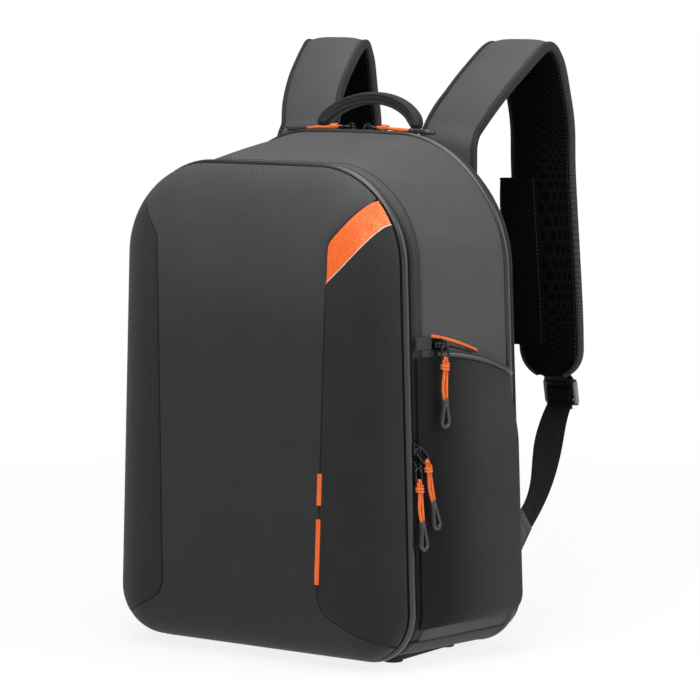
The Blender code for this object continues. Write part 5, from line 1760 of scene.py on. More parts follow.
    def inside(self) -> None:
        """The compartment wall and the padded shelves."""
        level = FORM.front_zip + self.wall_y
        turns = FORM.stations(281, 0.3)[:-1]
        share = FORM.along(level + 0.002)
        rings = np.array([FORM.ring(level + run, inset, turns, share) for inset, run in
                          ((0.0075, 0.0002), (0.0058, 0.001), (0.0058, 0.003), (0.0075, 0.0038))])
        middle = rings.mean(axis=1, keepdims=True)
        inner = [mix(rings[0], middle[0], s) for s in (0.97, 0.6, 0.25, 0.05)]
        outer = [mix(rings[3], middle[3], s) for s in (0.05, 0.25, 0.6, 0.97)]
        piece = Bench.loft("compartment_panel", np.array([*inner, *rings, *outer]))
        settle(piece, Body.PACK, ["compartment_wall"], [LINING])
        for word, z in zip(("lower", "upper"), self.shelf_heights):
            low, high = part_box(f"padded_shelf_{word}")
            piece = Cushion(f"shelf_{word}", (low.x, high.x), (low.y, high.y), z, self.shelf).flat()
            settle(piece, Body.PACK, [f"padded_shelf_{word}"], [LINING])


@dataclass
class Cushion:
    """A stuffed block with rounded edges."""

    name: str
    span_x: tuple[float, float]
    span_y: tuple[float, float]
    low: float
    thick: float

    def flat(self) -> Piece:
        """A shelf with soft faces, started from a cube."""
        piece = Bench.block(self.name, (self.span_x[0], self.span_y[0], self.low),
                            (self.span_x[1], self.span_y[1], self.low + self.thick))
        Bench.activate(piece)
        bpy.ops.object.mode_set(mode="EDIT")
        bpy.ops.mesh.select_all(action="SELECT")
        bpy.ops.mesh.subdivide(number_cuts=12)
        bpy.ops.object.mode_set(mode="OBJECT")
        Bench.bevel(piece, 0.0042, 4)
        points = Bench.points(piece)
        u = (points[:, 0] - self.span_x[0]) / (self.span_x[1] - self.span_x[0])
        v = (points[:, 1] - self.span_y[0]) / (self.span_y[1] - self.span_y[0])
        middle = self.low + self.thick / 2
        sink = 1 - 0.14 * (1 - np.clip(np.sin(math.pi * u) * np.sin(math.pi * v), 0, 1) ** 0.35)
        points[:, 2] = middle + (points[:, 2] - middle) * sink
        Bench.move_points(piece, points)
        return piece


@dataclass
class SidePockets:
    """The stretch pockets on both sides, and the right one's zip, tab and cord."""

    inset: float = 0.0045
    floor: float = 0.032
    front_top: float = 0.2565
    drop: float = 0.025
    proud: float = 0.0175
    lip: float = 0.0018
    cloth: float = 0.0014
    foot_round: float = 0.022
    bead: float = 0.0025
    bead_start: float = 0.2
    rear_round: float = 0.86
    zip_start: float = 0.0185
    zip_end: float = 0.0725
    cord: float = 0.0014
    cord_rise: float = 0.0101
    cord_end_rise: float = 0.003
    clear: float = 0.0003

    def __post_init__(self) -> None:
        """Works out the pocket's run."""
        self.front = FORM.front_zip + self.inset
        self.rear = FORM.bead_rear - self.inset

    def top(self, share: Array) -> Array:
        """Height of the mouth."""
        return self.front_top - self.drop * share ** 2.3

    def out(self, share: Array, up: Array) -> Array:
        """How far the cloth stands off the body.

        Args:
            share: Share of the depth.
            up: Share of the height.

        Returns:
            The distance.
        """
        rise = smooth((share - 0.14) / 0.64)
        fall = np.clip((share - self.rear_round) / (1 - self.rear_round), 0, 1)
        rear = np.sqrt(np.maximum(0, 1 - fall * fall))
        height = self.top(share) - self.floor
        foot = np.clip(up * height / self.foot_round, 0, 1)
        bottom = np.sqrt(np.maximum(0, 1 - (1 - foot) ** 2))
        mouth = mix(1.0, 0.5, smooth((up - 0.72) / 0.28))
        return self.lip + self.proud * rise * rear * bottom * mouth

    def point(self, share: Array, up: Array, extra: float | Array = 0.0) -> Array:
        """A point of the right pocket's cloth.

        Args:
            share: Share of the depth.
            up: Share of the height.
            extra: Added distance off the body.

        Returns:
            The points as rows.
        """
        y = mix(self.front, self.rear, share)
        z = mix(self.floor, self.top(share), up)
        return np.stack([FORM.side_x(y, z) + self.out(share, up) + extra, y, z], axis=-1)

    def bead_line(self, share: Array) -> Array:
        """Middle of the bead along the mouth.

        Args:
            share: Share of the depth.

        Returns:
            The points as rows.
        """
        edge = self.point(share, np.ones_like(share))
        z = edge[..., 2] + self.bead + self.clear
        x = np.maximum(edge[..., 0] - 0.0008, FORM.side_x(edge[..., 1], z) + self.bead + self.clear)
        return np.stack([x, edge[..., 1], z], axis=-1)

    def on_side(self, y: Array, z: Array, out: float | Array) -> Array:
        """A point on the right side of the body."""
        return np.stack([FORM.side_x(y, z) + out, y, z], axis=-1)

    def cord_line(self, share: Array) -> tuple[Array, Array]:
        """Depth and height of the cord above the zip.

        Args:
            share: Share of the zip's length.

        Returns:
            Depths and heights.
        """
        y = self.front + mix(self.zip_start, self.zip_end, share)
        run = (y - self.front) / (self.rear - self.front)
        seat = self.bead_line(run)[..., 2] + self.bead + self.cord + 2 * self.clear
        return y, seat + mix(self.cord_rise, self.cord_end_rise, share)

    def zip_lines(self, share: Array) -> tuple[Array, Array, Array]:
        """Depth and the zip's lower and upper edges.

        Args:
            share: Share of the zip's length.

        Returns:
            Depths and the two heights.
        """
        y, cord = self.cord_line(share)
        run = (y - self.front) / (self.rear - self.front)
        return y, self.bead_line(run)[..., 2] + self.bead + self.clear, cord - self.cord - self.clear

    def shares(self, start: float, steps: int, bends: int) -> Array:
        """Shares of the depth that lie closer together on the rear round.

        Args:
            start: First share.
            steps: How many before the round.
            bends: How many on it.

        Returns:
            The shares.
        """
        bend = np.sin(np.linspace(0, math.pi / 2, bends))
        return np.concatenate([np.linspace(start, self.rear_round, steps),
                               self.rear_round + (1 - self.rear_round) * bend[1:]])

    def build(self) -> None:
        """Makes both pockets and the right one's trims."""
        for side in Side:
            self.pocket(side)
        self.zip_and_cord()

    def pocket(self, side: Side) -> None:
        """One pocket with its bead.

        Args:
            side: Side of the bag.
        """
        columns = self.shares(0.0, 50, 26)
        foot = 0.12 * (1 - np.cos(np.linspace(0, math.pi / 2, 14)))
        rows = np.unique(np.concatenate([foot, np.linspace(0.12, 1, 60)]))
        rng = np.random.default_rng(11)
        folds = [(rng.uniform(8, 26), rng.uniform(0, 6.28), rng.uniform(-9, 9)) for _ in range(7)]

        def place(u: Array, v: Array) -> Array:
            """Points of the cloth with slack folds towards the foot."""
            share = columns[np.rint(u * (len(columns) - 1)).astype(int)]
            up = rows[np.rint(v * (len(rows) - 1)).astype(int)]
            slack = np.sin(math.pi * np.clip(share, 0, 1)) * np.sin(math.pi * np.clip(up * 0.9 + 0.05, 0, 1))
            wave = sum(np.sin(a * share + b + c * up) for a, b, c in folds) * 0.00028 * slack
            return self.point(share, up, wave) * side.flip

        piece = Bench.sheet(f"{side.word}_pocket_cloth", len(columns) - 1, len(rows) - 1, place, (0.115, 0.22))
        Bench.face_along(piece, outwards)
        Bench.thicken(piece, self.cloth)
        settle(piece, Body.PACK, [f"{side.word}_pocket"], [STRETCH])
        path = resampled(self.bead_line(self.shares(self.bead_start, 60, 30)) * side.flip, 110)
        thick = 2 * self.bead
        bead = Bench.tube(f"{side.word}_pocket_bead_cloth", path, RIGHTWARD, thick, thick, oval(14))
        settle(bead, Body.PACK, [f"{side.word}_pocket_bead"], [PIPING])


    def zip_and_cord(self) -> None:
        """The short zip above the right pocket with its tab and braided cord."""
        def tape(u: Array, v: Array) -> Array:
            """Points of the tape."""
            y, low, high = self.zip_lines(0.9 * u)
            bulge = 0.0006 * np.exp(-((v - 0.5) / 0.1) ** 2)
            return self.on_side(y, mix(low, high, v), self.clear + 0.0008 + bulge)

        piece = Bench.sheet("pocket_zip_strip", 80, 16, tape, (0.05, 0.012))
        Bench.face_along(piece, outwards)
        Bench.thicken(piece, 0.0008)
        settle(piece, Body.PACK, ["right_pocket_zip"], [TAPE])
        y, z = self.cord_line(np.linspace(0, 1, 60))
        path = self.on_side(y, z, self.cord + self.clear)
        piece = Bench.tube("pocket_accent_braid", path, RIGHTWARD, 2 * self.cord, 2 * self.cord, oval(12))
        settle(piece, Body.PACK, ["right_pocket_accent_cord"], [ORANGE_CORD])
        end = float(self.zip_lines(np.array([0.0]))[0][0]) - self.clear
        start = FORM.gusset_front + 0.0006
        low = float(self.bead_line(np.array([0.0]))[0, 2]) + self.bead + 2 * self.clear

        def tab(u: Array, v: Array) -> Array:
            """Points of the folded tab."""
            y, z = mix(start, end, u), mix(low, low + 0.011, v)
            rim = np.minimum(np.minimum(u, 1 - u) * (end - start), np.minimum(v, 1 - v) * 0.011)
            return self.on_side(y, z, 0.0023 - FrontShell.rolled(rim, 0.0012, 0.0012))

        piece = Bench.sheet("pocket_zip_tab", 30, 22, tab, (0.013, 0.011))
        Bench.face_along(piece, outwards)
        Bench.thicken(piece, 0.0011)
        # The tab takes the darker base cloth as painted shade: it is the gusset's cloth, darkened where it sits in
        # shade.
        settle(piece, Body.PACK, ["right_pocket_zip_tab"], [BASE_CLOTH])
        z = np.linspace(low + 0.0015, low + 0.0095, 12)
        path = self.on_side(np.full(12, mix(start, end, 0.72)), z, 0.0024)
        sew("pocket_tab_stitches", path, RIGHTWARD, Body.PACK, 0.0022, 0.0016)


# Back, straps and handle


@dataclass
class BackPanel:
    """The padded back with its mesh pads, laptop sleeve and zip side."""

    edge: float = 0.005
    draw_in: float = 0.0065
    pad_thick: float = 0.012
    pads: dict[str, tuple[float, float, float, float]] = field(default_factory=lambda: {
        "right_back_pad": (0.016, 0.12, 0.172, 0.372), "left_back_pad": (-0.12, -0.016, 0.172, 0.372),
        "lumbar_pad": (-0.102, 0.102, 0.045, 0.152)})
    pad_round: float = 0.02
    hub: Array = field(default_factory=lambda: 0.21 * UPWARD)

    def build(self) -> None:
        """Makes the panel and what it carries inside and out."""
        self.panel()
        for name, sides in self.pads.items():
            self.pad(name, *sides)
        self.inside()

    def panel(self) -> None:
        """The panel with rounded edges, its outer face drawn in along the channels between the pads."""
        turns = FORM.stations(361, 1.0)[:-1]
        layers = [(0.006, FORM.back_front + 0.0002), (0.0025, FORM.back_front + 0.0004)]
        slope = FORM.back_thick - self.edge
        layers += [(0.0012 + self.draw_in * run, FORM.back_front + 0.0012 + (slope - 0.0012) * run)
                   for run in np.linspace(0, 1, 8)]
        layers += [(self.draw_in + self.edge * (1 - math.cos(a)) * 0.9 + 0.0012 + 0.003 * a,
                    FORM.back_rear - self.edge * (1 - math.sin(a))) for a in np.linspace(0.2, math.pi / 2, 7)]
        rings = np.array([FORM.ring(y, inset, turns, 1.0) for inset, y in layers])
        inner, flat = (self.hub + REARWARD * ring[:, 1:2] for ring in (rings[0], rings[-1]))
        fronts = [mix(rings[0], inner, s) for s in (0.98, 0.7, 0.4, 0.15)]
        rears = [mix(rings[-1], flat, s) for s in (0.04, 0.15, 0.4, 0.7, 0.98)]
        piece = Bench.loft("back_panel_cloth", np.array([*fronts, *rings, *rears]))
        settle(piece, Body.BACK, ["back_panel"], [BODY_CLOTH])
        edge = FORM.rear_zip + 0.00015
        ZipTrack("rear_zip_panel", edge, edge + 0.002, FORM.back_front - 0.0003, 2.0, 8.0, 1.0).build(
            Body.BACK, "rear_zip_panel_side")

    def pad(self, name: str, low_x: float, high_x: float, low_z: float, high_z: float) -> None:
        """A crowned mesh pad with sewn channels and a bound edge.

        Args:
            name: Name of the CAD node.
            low_x: Left edge.
            high_x: Right edge.
            low_z: Lower edge.
            high_z: Upper edge.
        """
        start = FORM.back_rear + 0.0003
        middle = np.array([(low_x + high_x) / 2, (low_z + high_z) / 2])
        half = np.array([(high_x - low_x) / 2, (high_z - low_z) / 2])
        corner = self.pad_round
        corners = [(1, -1, -0.5), (1, 1, 0.0), (-1, 1, 0.5), (-1, -1, 1.0)]
        outline = []
        for sx, sz, first in corners:
            for a in np.linspace(first * math.pi, (first + 0.5) * math.pi, 24):
                outline.append((middle[0] + sx * (half[0] - corner) + corner * math.cos(a),
                                middle[1] + sz * (half[1] - corner) + corner * math.sin(a)))
        outline = resampled(np.array([(x, z, 0.0) for x, z in [*outline, outline[0]]]), 241)[:-1, :2]
        draw = 0.0022 * (np.abs((outline[:, :1] - middle[0]) / half[0]) < 0.97) * \
            np.cos(math.pi / 2 * np.clip((outline[:, 1:] - middle[1]) / half[1], -1, 1)) * np.array([[1.0, 0.0]])
        outline = outline - np.sign(outline - middle) * draw
        shares = np.concatenate([[0.0, 0.0], np.linspace(0.006, 0.2, 16), np.linspace(0.23, 1, 34)])
        rings = []
        for k, share in enumerate(shares):
            ring = mix(outline, middle, share * 0.985)
            away = np.minimum(half[0] - np.abs(ring[:, 0] - middle[0]), half[1] - np.abs(ring[:, 1] - middle[1]))
            if k < 2:
                level = np.full(len(ring), 0.28 * k)
            else:
                level = 0.28 + 0.62 * np.sqrt(1 - (1 - np.clip(away / 0.02, 0, 1)) ** 2)
            along = ring[:, 1] if half[1] > half[0] else ring[:, 0]
            span = (low_z, high_z) if half[1] > half[0] else (low_x, high_x)
            lanes = np.abs((along - span[0]) / (span[1] - span[0]) * 3 % 1 - 0.5) * 2
            lanes = np.where((along - span[0] < 0.03) | (span[1] - along < 0.03), 0.0, lanes)
            level = level - 0.3 * smooth((lanes - 0.86) / 0.14) * (level > 0.4)
            rings.append(np.stack([ring[:, 0], start + level * self.pad_thick, ring[:, 1]], axis=1))
        piece = Bench.loft(f"{name}_mesh", np.array(rings))
        Bench.lay_pattern(piece)
        settle(piece, Body.BACK, [name], [AIR_MESH])
        edge = np.stack([outline[:, 0], np.full(len(outline), start + 0.0016), outline[:, 1]], axis=1)
        piping = Bench.tube(f"{name}_piping", edge, REARWARD, 0.0032, 0.003, oval(10), loop=True)
        settle(piping, Body.BACK, [], [PIPING])

    def inside(self) -> None:
        """The laptop sleeve on the panel's inner face, open at its top."""
        low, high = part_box("laptop_sleeve")

        def place(u: Array, v: Array) -> Array:
            """A sagging front sheet whose edges turn back to the panel."""
            x = mix(low.x, high.x, u)
            z = mix(low.z, high.z, v) - 0.006 * np.sin(math.pi * u) * v ** 3
            rim = np.minimum(np.minimum(u, 1 - u) * (high.x - low.x), v * (high.z - low.z))
            fall = FrontShell.rolled(rim, 0.012, high.y - low.y - 0.001)
            return np.stack([x, low.y + 0.0004 + fall + 0.001 * np.sin(9 * u) * v, z], axis=-1)

        piece = Bench.sheet("laptop_sleeve_cloth", 90, 80, place, (0.236, 0.24))
        Bench.face_along(piece, frontwards)
        Bench.thicken(piece, 0.0016)
        settle(piece, Body.BACK, ["laptop_sleeve"], [LINING])
        hem = place(np.linspace(0.01, 0.99, 80), np.ones(80))
        band = Bench.tube("laptop_sleeve_hem", hem, UPWARD, 0.01, 0.0026, oval(14, 4.0))
        settle(band, Body.BACK, [], [BINDING])


@dataclass
class ShoulderStraps:
    """The two padded straps with their bindings, loops, webbing and anchor tabs."""

    base_thick: float = 0.008
    thick: float = 0.014
    base_width: float = 0.06
    width: float = 0.065
    base_x: float = 0.075
    sewn: tuple[float, float] = (-0.045, -0.012)
    rise: tuple[tuple[float, float, float], ...] = (
        (0.0755, 0.0145, 0.006), (0.083, 0.0294, 0.027), (0.0899, 0.0519, 0.0493), (0.0965, 0.0832, 0.0715),
        (0.0995, 0.0997, 0.0605), (0.1015, 0.109, 0.030), (0.102, 0.1155, 0.001), (0.103, 0.1162, -0.043),
        (0.107, 0.1222, -0.151), (0.108, 0.1232, -0.191))
    end: tuple[float, float, float] = (0.1082, 0.1242, -0.219)
    loop: float = 0.0022
    web_width: float = 0.025
    web_thick: float = 0.0018
    tab_root: tuple[float, float] = (0.126, 0.059)
    tab_reach: tuple[float, float, float] = (0.004, 0.046, 0.040)
    tab_tall: float = 0.05
    tab_thick: float = 0.003
    flap_width: float = 0.04
    flap_overhang: float = 0.009
    sides: int = 48

    def build(self) -> None:
        """Makes both straps and all that hangs on them."""
        for side in Side:
            self.strap(side)
            self.lock_loop(side)
            self.anchor_tab(side)
            self.webbing(side)
        self.flap()

    def seat(self, row: Sequence[float]) -> tuple[float, float, float]:
        """A station's place from its offsets behind and above the back's top."""
        return row[0], FORM.back_rear + row[1], FORM.top + row[2]

    def route(self, steps: int = 12) -> Array:
        """Rows of place, width and thickness along the right strap.

        Args:
            steps: Points from one station to the next.

        Returns:
            Rows of five numbers.
        """
        seat = FORM.back_rear + 0.0003 + self.base_thick / 2
        rows = [(self.base_x, seat, FORM.top + above, self.base_width, self.base_thick) for above in self.sewn]
        for index, row in enumerate(self.rise):
            share = float(smooth(index / 3))
            width, thick = mix(self.base_width, self.width, share), mix(self.base_thick, self.thick, share)
            rows.append((*self.seat(row), width, thick))
        route = smooth_route(rows, steps)
        route[:, 1] = np.maximum(route[:, 1], FORM.back_rear + 0.0003 + route[:, 4] / 2)
        return route

    def full_route(self) -> Array:
        """The route with the strap's rounded lower end.

        Returns:
            Rows of five numbers.
        """
        route = self.route()
        last, end = route[-1, :3], np.array(self.seat(self.end))
        tail = []
        for share in np.sin(np.linspace(0.08, math.pi / 2, 20)):
            width = self.width * math.sqrt(max(0.0, 1 - (0.93 * share) ** 2.4))
            tail.append([*mix(last, end, share * 0.97), width, mix(self.thick, self.base_thick, share ** 3)])
        return np.vstack([route, tail])

    def rings(self, side: Side) -> Array:
        """Rings of the padded section, fuller in its middle than at its edges.

        Args:
            side: Side of the bag.

        Returns:
            An array of rings, points and coordinates.
        """
        route = self.full_route()
        path = route[:, :3] * side.flip
        turn = np.arange(self.sides) * 2 * math.pi / self.sides
        across = np.sign(np.cos(turn)) * np.abs(np.cos(turn)) ** 0.62
        up = np.sign(np.sin(turn)) * np.abs(np.sin(turn)) ** 0.72 * (0.62 + 0.38 * (1 - np.abs(across) ** 3))
        return ribbon_rings(path, RIGHTWARD, route[:, 3] - 0.003, route[:, 4],
                            np.stack([across, up], axis=1))

    def strap(self, side: Side) -> None:
        """The pad, cloth on its outer face and mesh on its inner one, bound along both edges.

        Args:
            side: Side of the bag.
        """
        rings = self.rings(side)
        piece = Bench.loft(f"{side.word}_strap_pad", rings)
        shown = np.concatenate([rings, rings[:, :1]], axis=1)
        girth = float(np.linalg.norm(np.diff(shown, axis=1), axis=2).sum(axis=1).mean())
        for _ in range(2):
            piece.data.materials.append(None)
        Bench.paint_faces(piece, lambda u, v: u < girth / 2, 1)
        settle(piece, Body.BACK, [f"{side.word}_strap"], [STRAP_CLOTH, AIR_MESH])
        _, _, up = path_frames(self.full_route()[:-4, :3] * side.flip, RIGHTWARD)
        widths = np.interp(np.arange(len(up)), [0, 30, 60], [0.0055, 0.008, 0.0085])
        for word, column in (("outer", 0), ("inner", self.sides // 2)):
            path = rings[:-4, column]
            path = path + unit(rings[:-4].mean(axis=1) - path) * 0.0012
            binding = Bench.tube(f"{side.word}_strap_{word}_binding", path, up, widths, 0.0042, oval(14, 2.6))
            settle(binding, Body.BACK, [], [BINDING])
            for face, shift in (("cloth", -5), ("mesh", 5)):
                row = (column + shift * (1 if column == 0 else -1)) % self.sides
                line = rings[2:-14, row]
                facing = up[2:len(line) + 2] * (1 if face == "mesh" else -1)
                out = unit(line - rings[2:-14].mean(axis=1)) * 0.3 + facing
                sew(f"{side.word}_strap_{word}_{face}_stitches", line + unit(out) * 0.0001, out, Body.BACK)

    def lock_axis(self, side: Side) -> Array:
        """Middle of the ladder lock's top bar."""
        x, y, z = self.seat(self.end)
        return np.array([x * side.value, y + 0.014, z - 0.005])

    def lock_loop(self, side: Side) -> None:
        """The short web loop that holds the lock's top bar.

        Args:
            side: Side of the bag.
        """
        end = np.array(self.seat(self.end)) * side.flip
        bar = self.lock_axis(side)
        reach = 0.0022 + self.loop / 2 + 0.0004
        wrap = [bar + np.array([0, -math.cos(a), math.sin(a)]) * reach * 1.15
                for a in np.linspace(0.2, -math.pi * 1.1, 14)]
        path = np.array([end + np.array([0, -0.003, 0.016]), end + np.array([0, 0.0, 0.004]), *wrap,
                         end + np.array([0, 0.0045, 0.008]), end + np.array([0, 0.004, 0.018])])
        path = resampled(smooth_route(path, 4), 70)
        piece = Bench.tube(f"{side.word}_lock_loop", path, RIGHTWARD, self.web_width * 0.96, 0.0015, oval(16, 5.0))
        settle(piece, Body.BACK, [], [WEB])

    def tab_ends(self, side: Side) -> tuple[Array, Array]:
        """Root and tip of the anchor tab."""
        root = np.array([self.tab_root[0] * side.value, FORM.back_rear + 0.0003, self.tab_root[1]])
        return root, root + np.array(self.tab_reach) * side.flip

    def anchor_tab(self, side: Side) -> None:
        """A doubled cloth tab that narrows to the webbing, with a sewn border.

        Args:
            side: Side of the bag.
        """
        root, tip = self.tab_ends(side)

        def line(share: Array) -> tuple[Array, Array]:
            """Middle and half width along the tab."""
            _, deep, tall = self.tab_reach
            lean = unit(np.stack([0 * share, -share * tall, np.full_like(share, deep)], axis=-1))
            half_width = mix(self.tab_tall, self.web_width * 1.04, share) / 2
            return mix(root, tip, share[:, None]), lean * half_width[:, None]

        share = np.linspace(0, 1, 40)
        middle, half = line(share)
        shape = oval(20, 5.0)
        out = np.array([side.value * self.tab_thick / 2, 0, 0])
        thin = (1 - 0.05 * np.abs(np.sin(share * 9)))[:, None, None]
        rings = middle[:, None] + half[:, None] * shape[None, :, :1] + out * shape[None, :, 1:] * thin
        piece = Bench.loft(f"{side.word}_anchor_tab_cloth", rings)
        settle(piece, Body.BACK, [f"{side.word}_anchor_tab"], [BODY_CLOTH])
        for word, at in (("upper", 0.82), ("lower", -0.82)):
            path = middle[2:-1] + half[2:-1] * at + out * 1.05
            sew(f"{side.word}_anchor_tab_{word}_stitches", path, out, Body.BACK)
        for at in (0.78, 0.9):
            spot, reach = line(np.array([at]))
            path = spot + reach * np.linspace(-0.8, 0.8, 14)[:, None] + out * 1.05
            sew(f"{side.word}_anchor_tab_bar_{round(at * 100)}", path, out, Body.BACK)

    def webbing(self, side: Side) -> None:
        """The lower web, turned a quarter on its way from the tab to the lock.

        Args:
            side: Side of the bag.
        """
        tip = self.tab_ends(Side.RIGHT)[1]
        lead = unit(np.array(self.tab_reach))
        start = tip + lead * 0.0006
        lean = math.radians(12)
        down = np.array([0, math.sin(lean), -math.cos(lean)])
        front = np.array([0, -math.cos(lean), -math.sin(lean)])
        end = self.lock_axis(Side.RIGHT) + down * 0.020 + front * (0.002 + self.web_thick + 0.0003)
        pull = float(np.linalg.norm(end - start)) / 3
        first = start + lead * pull
        second = end + unit(np.array([0.1, -0.8, -0.6])) * pull
        t = np.linspace(0, 1, 90)[:, None]
        path = start * (1 - t) ** 3 + first * 3 * t * (1 - t) ** 2 + second * 3 * t * t * (1 - t) + end * t ** 3
        turn = smooth(t) * math.pi / 2
        upright = unit(np.array([0.0, -self.tab_reach[2], self.tab_reach[1]])) * np.cos(turn)
        across = upright - RIGHTWARD * np.sin(turn)
        path, across = path * side.flip, across * side.flip
        self.threaded(side, down, front)
        piece = Bench.tube(f"{side.word}_web", path, across, self.web_width, self.web_thick, oval(20, 6.0))
        bodies = (Body.BACK.value, f"{side.word}_lock")
        settle_across(piece, bodies, f"{side.word}_webbing", WEB)

    def threaded(self, side: Side, down: Array, front: Array) -> None:
        """The web's turn through the lock: in at the low slot, over the middle bar and out again.

        Args:
            side: Side of the bag.
            down: Direction along the lock.
            front: Direction out of its face.
        """
        steps = ((0.0245, 0.0034), (0.0215, 0.0034), (0.018, 0.0026), (0.0155, 0.0), (0.0138, -0.0028),
                 (0.010, -0.0036), (0.0066, -0.0026), (0.0048, 0.0), (0.0052, 0.0028), (0.009, 0.0046),
                 (0.014, 0.0052), (0.024, 0.0056))
        axis = self.lock_axis(side)
        path = np.array([axis + down * low + front * ahead for low, ahead in steps])
        path = resampled(smooth_route(path, 6), 60)
        piece = Bench.tube(f"{side.word}_web_turn", path, RIGHTWARD, self.web_width * 0.97, 0.0013, oval(16, 5.0))
        settle(piece, f"{side.word}_lock", [], [WEB])

    def flap(self) -> None:
        """The flat cover sewn on the right strap's inner face."""
        route = self.route()[9 * 12:11 * 12 + 1]
        middle_x = route[:, 0] - route[:, 3] / 2 - self.flap_overhang + self.flap_width / 2
        path = np.stack([middle_x, route[:, 1] - route[:, 4] / 2 - 0.0014, route[:, 2]], axis=1)
        ends = np.minimum(np.arange(len(path)), np.arange(len(path))[::-1]) / 4.0
        widths = self.flap_width * (1 - 0.12 * np.clip(1 - ends, 0, 1) ** 2)
        piece = Bench.tube("right_strap_cover", path, RIGHTWARD, widths, 0.0022, oval(24, 6.0))
        settle(piece, Body.BACK, ["right_strap_flap"], [COVER])
        for word, at in (("outer", 0.42), ("inner", -0.44)):
            line = path + np.array([self.flap_width * at, -0.0013, 0])
            sew(f"right_strap_cover_{word}_stitches", line, -REARWARD, Body.BACK)


@dataclass
class GrabHandle:
    """The padded top handle."""

    half_span: float = 0.0475
    width: float = 0.013
    thick: float = 0.007
    rise: float = 0.030
    padding: float = 0.0018
    lean: float = math.radians(22)

    def build(self) -> None:
        """A flattened arch with narrow sewn ends and a bound front edge."""
        y = FORM.back_front + 0.0069 + self.width / 2 - FORM.groove
        base = FORM.top - FORM.rear.arch * (self.half_span / FORM.rear.half_top) ** 2 + 0.0005
        turn = np.linspace(0, math.pi, 80)
        up = self.thick / 2 + self.padding + (self.rise - self.thick) * np.sin(turn) ** 1.35
        reach = self.half_span + self.padding * np.sin(turn) ** 0.3
        arch = np.stack([reach * np.cos(turn), y + up * math.tan(self.lean), base + up], axis=1)
        path = np.vstack([[self.half_span, y, base], arch, [-self.half_span, y, base]])
        path = resampled(path, 110)
        ends = np.minimum(np.arange(110), np.arange(110)[::-1]) / 109
        widths = mix(0.0016, self.width, smooth(ends / 0.05))
        thicks = (self.thick + 2 * self.padding) * mix(0.55, 1.0, smooth((ends - 0.01) / 0.1))
        rings = ribbon_rings(path, REARWARD, widths, thicks, oval(28, 3.0))
        settle(Bench.loft("grab_handle_pad", rings), Body.HANDLE, ["grab_handle"], [HANDLE_CLOTH])
        middles = rings.mean(axis=1)
        for word, column in (("outer", int(np.argmin(rings[55, :, 1] - rings[55, :, 2]))),
                             ("inner", int(np.argmin(rings[55, :, 1] + rings[55, :, 2])))):
            edge = mix(rings[4:-4, column], middles[4:-4], 0.12)
            binding = Bench.tube(f"grab_handle_{word}_binding", edge, REARWARD, 0.0036, 0.0032, oval(10))
            settle(binding, Body.HANDLE, [], [BINDING])
            for step in (-3, 3):
                line = rings[6:-6, (column + step) % 28]
                out = unit(line - middles[6:-6])
                sew(f"grab_handle_{word}_stitches_{step + 3}", line, out, Body.HANDLE)


# Buckles, sliders and pulls


@dataclass
class LadderLocks:
    """The two strap buckles."""

    web: float = 0.025
    rail: float = 0.0035
    bar: float = 0.004
    slot: float = 0.006
    thick: float = 0.004
    lean: float = math.radians(12)

    def build(self, straps: ShoulderStraps) -> None:
        """Models one lock and places a copy on each strap.

        Args:
            straps: The straps that they hang on.
        """
        half = self.web / 2 + self.rail + 0.0003
        top = self.bar / 2
        low = top - 3 * self.bar - 2 * self.slot
        first = Bench.block("lock_frame", (-half, -self.thick / 2, low), (half, self.thick / 2, top))
        Bench.bevel(first, 0.0012, 3)
        for index in range(2):
            high = -top - index * (self.bar + self.slot)
            room = half - self.rail
            tool = Bench.block("slot", (-room, -self.thick, high - self.slot), (room, self.thick, high))
            Bench.bevel(tool, 0.0011, 2)
            Bench.carve(first, tool)
        Bench.bevel(first, 0.00035, 2, 40)
        rails = Bench.block("lock_rail", (half - self.rail + 0.0002, -self.thick / 2 - 0.0012, low + 0.0015),
                            (half + 0.0006, self.thick / 2 + 0.0006, top - 0.0015))
        Bench.bevel(rails, 0.0021, 5)
        for side in Side:
            axis = straps.lock_axis(side)
            turn = Matrix.Translation(Vector(axis)) @ Matrix.Rotation(self.lean, 4, "X")
            lock = Bench.copy(first, f"{side.word}_lock_frame", turn)
            settle(lock, f"{side.word}_lock", [f"{side.word}_ladder_lock"], [BUCKLE])
            for word, sign in (("outer", 1), ("inner", -1)):
                mirror = turn @ Matrix.Diagonal((sign * side.value, 1, 1, 1))
                rail = Bench.copy(rails, f"{side.word}_lock_{word}_rail", mirror)
                # The rails take the light grey finish as a painted highlight.
                settle(rail, f"{side.word}_lock", [], [RAIL_HIGHLIGHT])
        for start in (first, rails):
            bpy.data.objects.remove(start, do_unlink=True)


@dataclass
class Seat:
    """Where a slider sits and how its pull hangs."""

    name: str
    axes: tuple[Array, Array, Array]
    at: Array
    pull_axes: tuple[Array, Array, Array]
    eye_turned: bool = False
    ring: float = 0.011
    ring_lean: float = 0.0

    @staticmethod
    def matrix(axes: tuple[Array, Array, Array], at: Array) -> Matrix:
        """The axes and place as a matrix.

        Args:
            axes: Three unit directions.
            at: The origin.

        Returns:
            The matrix.
        """
        grid = np.eye(4)
        grid[:3, :3] = np.stack(axes, axis=1)
        grid[:3, 3] = at
        return Matrix(grid.tolist())


